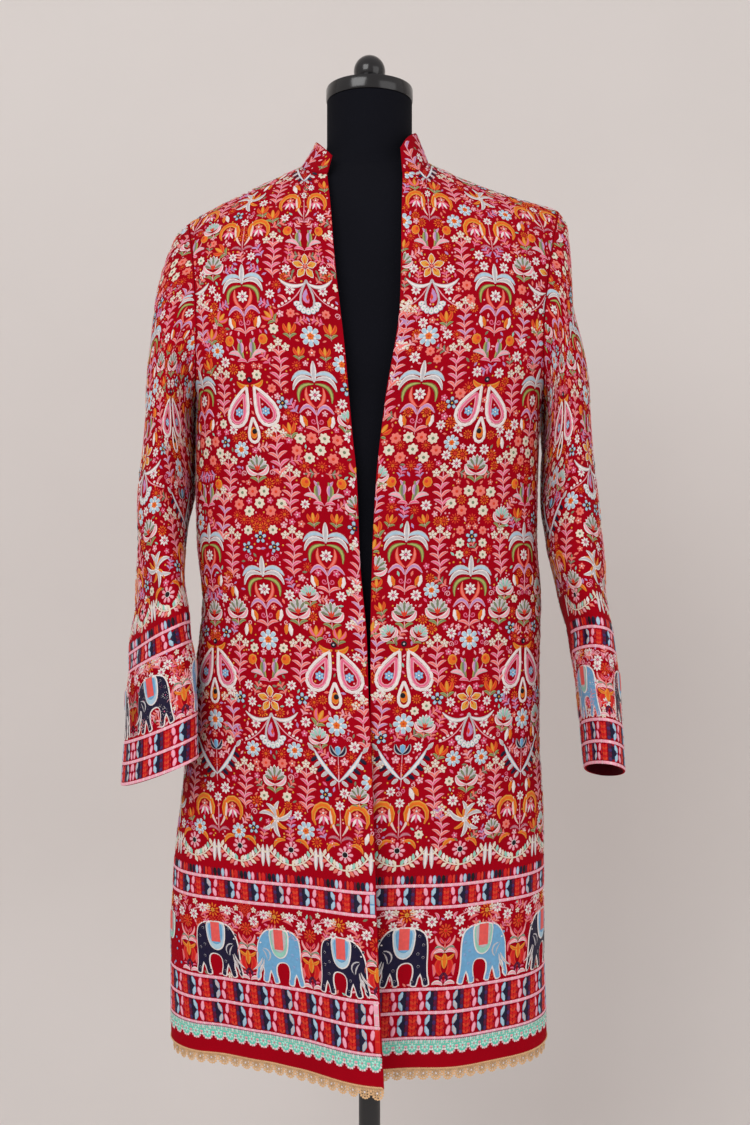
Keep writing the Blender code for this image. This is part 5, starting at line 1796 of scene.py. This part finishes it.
class COAT_OT_cloth(bpy.types.Operator):
    """Make the six cut pieces of cloth as thin walls with a lining."""
    bl_idname = "coat.cloth"
    bl_label = "Cloth"

    def execute(self, context):
        settings = context.scene.coat
        outside = paint("crimson_cloth", cloth_finish, tuple(settings.crimson))
        inside = paint("maroon_lining", cloth_finish, tuple(settings.lining))
        for cloth in CLOTHS:
            panel = panels()[cloth.panel]
            share_side_normals(cloth.panel, panel)
            outer = drawn_back(panel) if not panel.closed else panel.points
            uv = np.stack([panel.u, panel.v], axis=-1) * MM
            thing = grid_mesh(cloth.panel + "_cloth", (outer, outer - panel.out * WALL),
                              (outside, inside), panel.closed, uv)
            seat(thing, "crimson_cloth", cloth.panel)
        return {"FINISHED"}


BAND_MARGIN, COLLAR_START, EDGE_WIDE = 1.5, 2.0, 6.5     # mm


class COAT_OT_stitching(bpy.types.Operator):
    """Cover the panels with bands and fields of raised stitching."""
    bl_idname = "coat.stitching"
    bl_label = "Stitching"

    def execute(self, context):
        settings = context.scene.coat
        thread = paint("embroidery_thread", thread_finish)
        for number, cloth in enumerate(CLOTHS):
            panel = panels()[cloth.panel]
            bands, field = Stitching(panel), Stitching(panel)
            low, high = panel.u[0].min() + BAND_MARGIN, panel.u[0].max() - BAND_MARGIN
            start, first = COLLAR_START, 0.0
            if cloth.panel.startswith("front"):
                start, first = make_bands(bands, low, high, HEM_BANDS, 1, EDGE_WIDE), COLUMN_PITCH / 2
            elif cloth.panel != "collar":
                rows = HEM_BANDS if cloth.panel == "back" else CUFF_BANDS
                make_bands(bands, low, 0, rows, -1)
                start = make_bands(bands, 0, high, rows)
            fill_field(field, start, settings.seed + number, settings.density, first)
            if cloth.panel != "collar":
                seat(bands.build(cloth.panel + "_bands", thread), "crimson_cloth")
            seat(field.build(cloth.panel + "_field", thread), "crimson_cloth")
        return {"FINISHED"}


# Heights in millimetres: top, straight edge, scallops' depth, distance from the cloth, thickness.
Strip = namedtuple("Strip", "top band drop offset thick")
MINT_STRIP, GOLD_STRIP = Strip(32.0, 24.5, 7.5, 0.15, 0.5), Strip(5.0, -4.0, 8.5, -3.5, 0.6)
SCALLOP_COLUMNS, STRIP_ROWS, SCALLOP_BEADS, LACE_MARGIN, GOLD_OFFSET = 8, 6, 9, 1.0, -2.9


def lace_strip(panel, name, low, high, count, strip, finish):
    """A scalloped strip of net along the hem as a thin closed wall."""
    u = np.linspace(low, high, count * SCALLOP_COLUMNS + 1)
    bow = np.abs(np.sin(pi * np.arange(len(u)) / SCALLOP_COLUMNS)) ** 0.75
    bottom = strip.band - strip.drop * bow
    v = bottom + (strip.top - bottom) * np.linspace(0, 1, STRIP_ROWS)[:, None]
    u = np.broadcast_to(u, v.shape)
    outer, inner = [panel.place(u, v, np.full(v.shape, away))
                    for away in (strip.offset + strip.thick, strip.offset)]
    return grid_mesh(name, (outer, inner), (finish, finish), False, np.stack([u, v], axis=-1) * MM)


def scallop_beads(work, middle, reach, foot, deep, length, width, tints, **more):
    """Beads along the round foot of one scallop."""
    for j in range(SCALLOP_BEADS):
        angle = pi + pi * j / (SCALLOP_BEADS - 1)
        work.mark("bead", middle + reach * cos(angle), foot + deep * sin(angle), 0, length, width,
                  tints[j % 2], **more)


class COAT_OT_laces(bpy.types.Operator):
    """Make the mint lace above the hem and the gold scalloped lace that hangs below it."""
    bl_idname = "coat.laces"
    bl_label = "Laces"

    def execute(self, context):
        settings = context.scene.coat_lace
        mint, gold = tuple(settings.mint), tuple(settings.gold)
        thread = paint("embroidery_thread", thread_finish)
        mint_net = paint("mint_lace_thread", cloth_finish, mint, 0.75)
        gold_net = paint("gold_lace_thread", net_finish, gold)
        pale, dark = tuple(0.5 + 0.5 * part for part in mint), shaded(gold, 0.55)
        for name, short in (("front_right", "right"), ("front_left", "left"), ("back", "back")):
            panel = panels()[name]
            low, high = panel.u[0].min() + LACE_MARGIN, panel.u[0].max() - LACE_MARGIN
            count = max(1, round((high - low) / settings.scallop))
            step = (high - low) / count
            upper = lace_strip(panel, "mint_lace_net_" + short, low, high, count, MINT_STRIP, mint_net)
            seat(upper, "mint_lace_thread", "mint_lace_" + short)
            lower = lace_strip(panel, "gold_lace_net_" + short, low, high, count, GOLD_STRIP, gold_net)
            seat(lower, "gold_lace_thread", "gold_edging_" + short)
            work, hang = Stitching(panel), Stitching(panel)
            for k in range(count):
                middle = low + (k + 0.5) * step
                scallop_beads(work, middle, step * 0.45, 25.0, 7.6, 2.7, 2.7, (BLUSH, WHITE), lift=0.55,
                              high=0.6)
                spot = Spot(work, middle, 24.6, lift=0.55)
                spot.ring(6, 0.9, 3.6, 2.2, pale, kind="seed")
                spot.bead(0, 0, 2.0, PINK, lift=0.2)
                for j in (-1, 1):
                    work.mark("seed", middle + j * step * 0.30, 28.0, pi / 2, 5.0, 2.4, pale, lift=0.5)
                scallop_beads(hang, middle, step * 0.45, -4.6, 7.4, 2.6, 2.4, (gold, gold), high=0.7)
                spot = Spot(hang, middle, -5.6)
                spot.ring(7, 1.0, 3.4, 2.2, gold, dark, kind="seed")
                spot.bead(0, 0, 2.4, WHITE, lift=0.3)
            for v, one, two, width in ((28.8, BLUSH, WHITE, 2.4), (31.2, ROPE, WHITE, 2.6),
                                       (33.0, BLACK, NAVY, 1.4), (0.9, gold, gold, 1.6)):
                cord(work, low, high, v, one, two, width)
            cord(hang, low, high, -1.2, gold, dark, 1.9)
            seat(work.build(name + "_mint_lace", thread), "mint_lace_thread")
            seat(hang.build(name + "_gold_lace", thread, False, GOLD_OFFSET), "gold_lace_thread")
        return {"FINISHED"}


def form_limits(z, side):
    half = half_width(side, z) - FORM_IN
    limit = 0.985 * half
    close = z > UNDERARM_Z - 0.03
    limit = np.where(close, np.minimum(limit, cut_out(side, np.maximum(z, UNDERARM_Z)) - FORM_ARM_IN), limit)
    x = np.linspace(0, 0.25, 501)
    lid = ridge(side * x) - WALL * 1.2 - FORM_DOWN
    low = np.array([x[lid > level].max() if (lid > level).any() else 0.0 for level in z])
    limit = np.where(z > FORM_NECK_Z, np.minimum(limit, NECK_OUT[side] - FORM_NECK_IN), limit)
    return np.minimum(limit, 0.985 * low)


FORM_ROWS, FORM_COLUMNS, FORM_BLEND = 72, 33, 0.04


def form_points():
    """The covered torso in rings from the foot up to the neck."""
    z = FORM_BOTTOM_Z + (FORM_TOP_Z - FORM_BOTTOM_Z) * eased(FORM_ROWS)
    limits = {side: form_limits(z, side) for side in (-1, 1)}
    share = np.sin(pi / 2 * np.linspace(-1, 1, FORM_COLUMNS))
    x = share * np.where(share >= 0, limits[1][:, None], limits[-1][:, None])
    z = z[:, None] + 0 * x
    chest = np.clip((z - UNDERARM_Z + FORM_BLEND) / FORM_BLEND, 0, 1)
    slim, inset = 1.0 - (1 - FORM_SLIM) * chest, FORM_IN * (1 - chest)
    front, rear = [slim * bulge(x, smooth(BODY, z), inset, back) * roof(x, z + WALL + FORM_DOWN)
                   for back in (False, True)]
    front, rear = np.stack([x, -front, z], axis=-1), np.stack([x, rear, z], axis=-1)
    body = np.concatenate([front, rear[:, ::-1]], axis=1)
    body[0] *= (0.93, 0.93, 1)
    body[1] *= (0.985, 0.985, 1)
    swept = pi * (np.arange(FORM_COLUMNS) + 0.5) / FORM_COLUMNS
    angle = np.concatenate([pi + swept, swept])
    tops = [np.stack([neck.radius * np.cos(angle), neck.radius * np.sin(angle), np.full(len(angle), neck.z)],
                     axis=-1) for neck in NECK]
    ring = np.concatenate([body, np.array(tops)])
    return np.concatenate([ring, ring[:, :1]], axis=1)


class COAT_OT_form(bpy.types.Operator):
    """Make the black dress form, its turned cap and knob, the pole and the base."""
    bl_idname = "coat.form"
    bl_label = "Dress form"

    def execute(self, context):
        settings = context.scene.coat_form
        jersey = paint("black_jersey", jersey_finish, tuple(settings.jersey))
        gloss = paint("black_gloss", hard_finish, tuple(settings.gloss), 0.10, 0.1)
        steel = paint("black_painted_steel", hard_finish, (0.012, 0.012, 0.013), 0.35)
        shape = bmesh.new()
        point_grid(shape, form_points())
        bmesh.ops.remove_doubles(shape, verts=shape.verts[:], dist=1e-5)
        bmesh.ops.holes_fill(shape, edges=[edge for edge in shape.edges if edge.is_boundary], sides=0)
        bmesh.ops.recalc_face_normals(shape, faces=shape.faces[:])
        body = add_shape("form_body", shape, [jersey], 50)
        seat(body, "black_jersey", "form_torso")
        seat(turned("form_neck_cap", NECK_CAP, gloss), "black_gloss", "neck_cap")
        ball = [Turn(0.0, KNOB_FOOT_Z), Turn(KNOB_FOOT_RADIUS, KNOB_FOOT_Z)]
        start = -np.arcsin((KNOB_Z - KNOB_FOOT_Z - 0.003) / KNOB_RADIUS)
        for k in range(24):
            angle = start + (pi / 2 - start) * k / 23
            ball.append(Turn(max(KNOB_RADIUS * cos(angle), 0.0), KNOB_Z + KNOB_RADIUS * sin(angle)))
        seat(turned("form_knob", ball, gloss), "black_gloss", "knob")
        rod = [Turn(0.0, POLE_FOOT_Z), Turn(POLE_RADIUS, POLE_FOOT_Z), Turn(POLE_RADIUS, POLE_TOP_Z),
               Turn(0.0, POLE_TOP_Z)]
        seat(turned("stand_pole", rod, steel), "black_painted_steel", "pole")
        seat(turned("stand_base", BASE, steel, 144), "black_painted_steel", "base")
        return {"FINISHED"}


CAMERA_X, CAMERA_AWAY, CAMERA_Z, LENS = 0.0065, 1.5, 1.037, 40.4
# The floor turns up behind the form as one plain wall.
COVE_HALF, COVE_STEPS, COVE_START, COVE_RADIUS = 6.0, 120, 0.35, 0.5


class COAT_OT_stage(bpy.types.Operator):
    """Set up the floor, the soft lights and the camera."""
    bl_idname = "coat.stage"
    bl_label = "Stage"

    def execute(self, context):
        settings = context.scene.coat_stage
        scene = context.scene
        world = bpy.data.worlds.new("room")
        world.use_nodes = True
        light = world.node_tree.nodes["Background"].inputs
        light["Color"].default_value, light["Strength"].default_value = (*settings.room, 1), 1.0
        scene.world = world
        scene.view_settings.view_transform = "Standard"
        shape = bmesh.new()
        bmesh.ops.create_grid(shape, x_segments=1, y_segments=COVE_STEPS, size=COVE_HALF)
        for corner in shape.verts:
            x, run = corner.co.x, corner.co.y
            bend = min(max((run - COVE_START) / COVE_RADIUS, 0.0), pi / 2)
            rest = max(run - COVE_START - COVE_RADIUS * pi / 2, 0.0)
            corner.co = (x, min(run, COVE_START) + COVE_RADIUS * sin(bend),
                         CAD_LOW.z + COVE_RADIUS * (1 - cos(bend)) + rest)
        floor = add_shape("floor", shape, [wall_finish("floor_paint", tuple(settings.floor))])
        aim = Vector((0, 0, 1.0))
        for name, power, size, place in (("main", settings.key, 1.6, (-1.2, -2.2, 2.3)),
                                         ("fill", settings.fill, 2.0, (1.9, -1.7, 1.5))):
            data = bpy.data.lights.new(name, "AREA")
            data.energy, data.size = power, size
            lamp = add_object(name, data)
            lamp.location = place
            lamp.rotation_euler = (aim - Vector(place)).to_track_quat("-Z", "Y").to_euler()
        data = bpy.data.cameras.new("camera")
        data.lens, data.sensor_width, data.sensor_fit = LENS, 36.0, "AUTO"
        camera = add_object("camera", data)
        camera.location = (CAMERA_X, -CAMERA_AWAY, CAMERA_Z)
        camera.rotation_euler = (pi / 2, 0, 0)
        scene.camera = camera
        return {"FINISHED"}


class COAT_PT_sidebar(bpy.types.Panel):
    """Everything that the coat is made of."""
    bl_idname = "COAT_PT_sidebar"
    bl_label = "Embroidered coat"
    bl_space_type = "VIEW_3D"
    bl_region_type = "UI"
    bl_category = "Coat"

    def draw(self, context):
        for group in [getattr(context.scene, name) for name in GROUPS]:
            for name in group.bl_rna.properties.keys():
                if name not in ("rna_type", "name"):
                    self.layout.prop(group, name)
        for operator in OPERATORS:
            self.layout.operator(operator.bl_idname)


GROUPS = {"coat": CoatSettings, "coat_lace": LaceSettings, "coat_form": FormSettings,
          "coat_stage": StageSettings}
OPERATORS = (COAT_OT_stage, COAT_OT_form, COAT_OT_cloth, COAT_OT_stitching, COAT_OT_laces)


def register():
    for name, group in GROUPS.items():
        bpy.utils.register_class(group)
        setattr(bpy.types.Scene, name, PointerProperty(type=group))
    for operator in OPERATORS:
        bpy.utils.register_class(operator)
    bpy.utils.register_class(COAT_PT_sidebar)


def unregister():
    bpy.utils.unregister_class(COAT_PT_sidebar)
    for operator in reversed(OPERATORS):
        bpy.utils.unregister_class(operator)
    for name, group in GROUPS.items():
        delattr(bpy.types.Scene, name)
        bpy.utils.unregister_class(group)


def declare_cloth():
    """Look up each cloth sheet and the stitch and lace objects made on it; nothing is recorded."""
    for cloth in CLOTHS:
        shown = [bpy.data.objects[name] for name in
                 (cloth.panel + "_bands", cloth.panel + "_field", cloth.panel + "_mint_lace",
                  cloth.panel + "_gold_lace") if name in bpy.data.objects]
        cloth.panel == "collar"
        bpy.data.objects[cloth.panel + "_cloth"]


def main():
    register()
    bpy.ops.coat.stage()
    bpy.ops.coat.form()
    bpy.ops.coat.cloth()
    bpy.ops.coat.stitching()
    bpy.ops.coat.laces()
    declare_cloth()


if __name__ == "__main__":
    main()
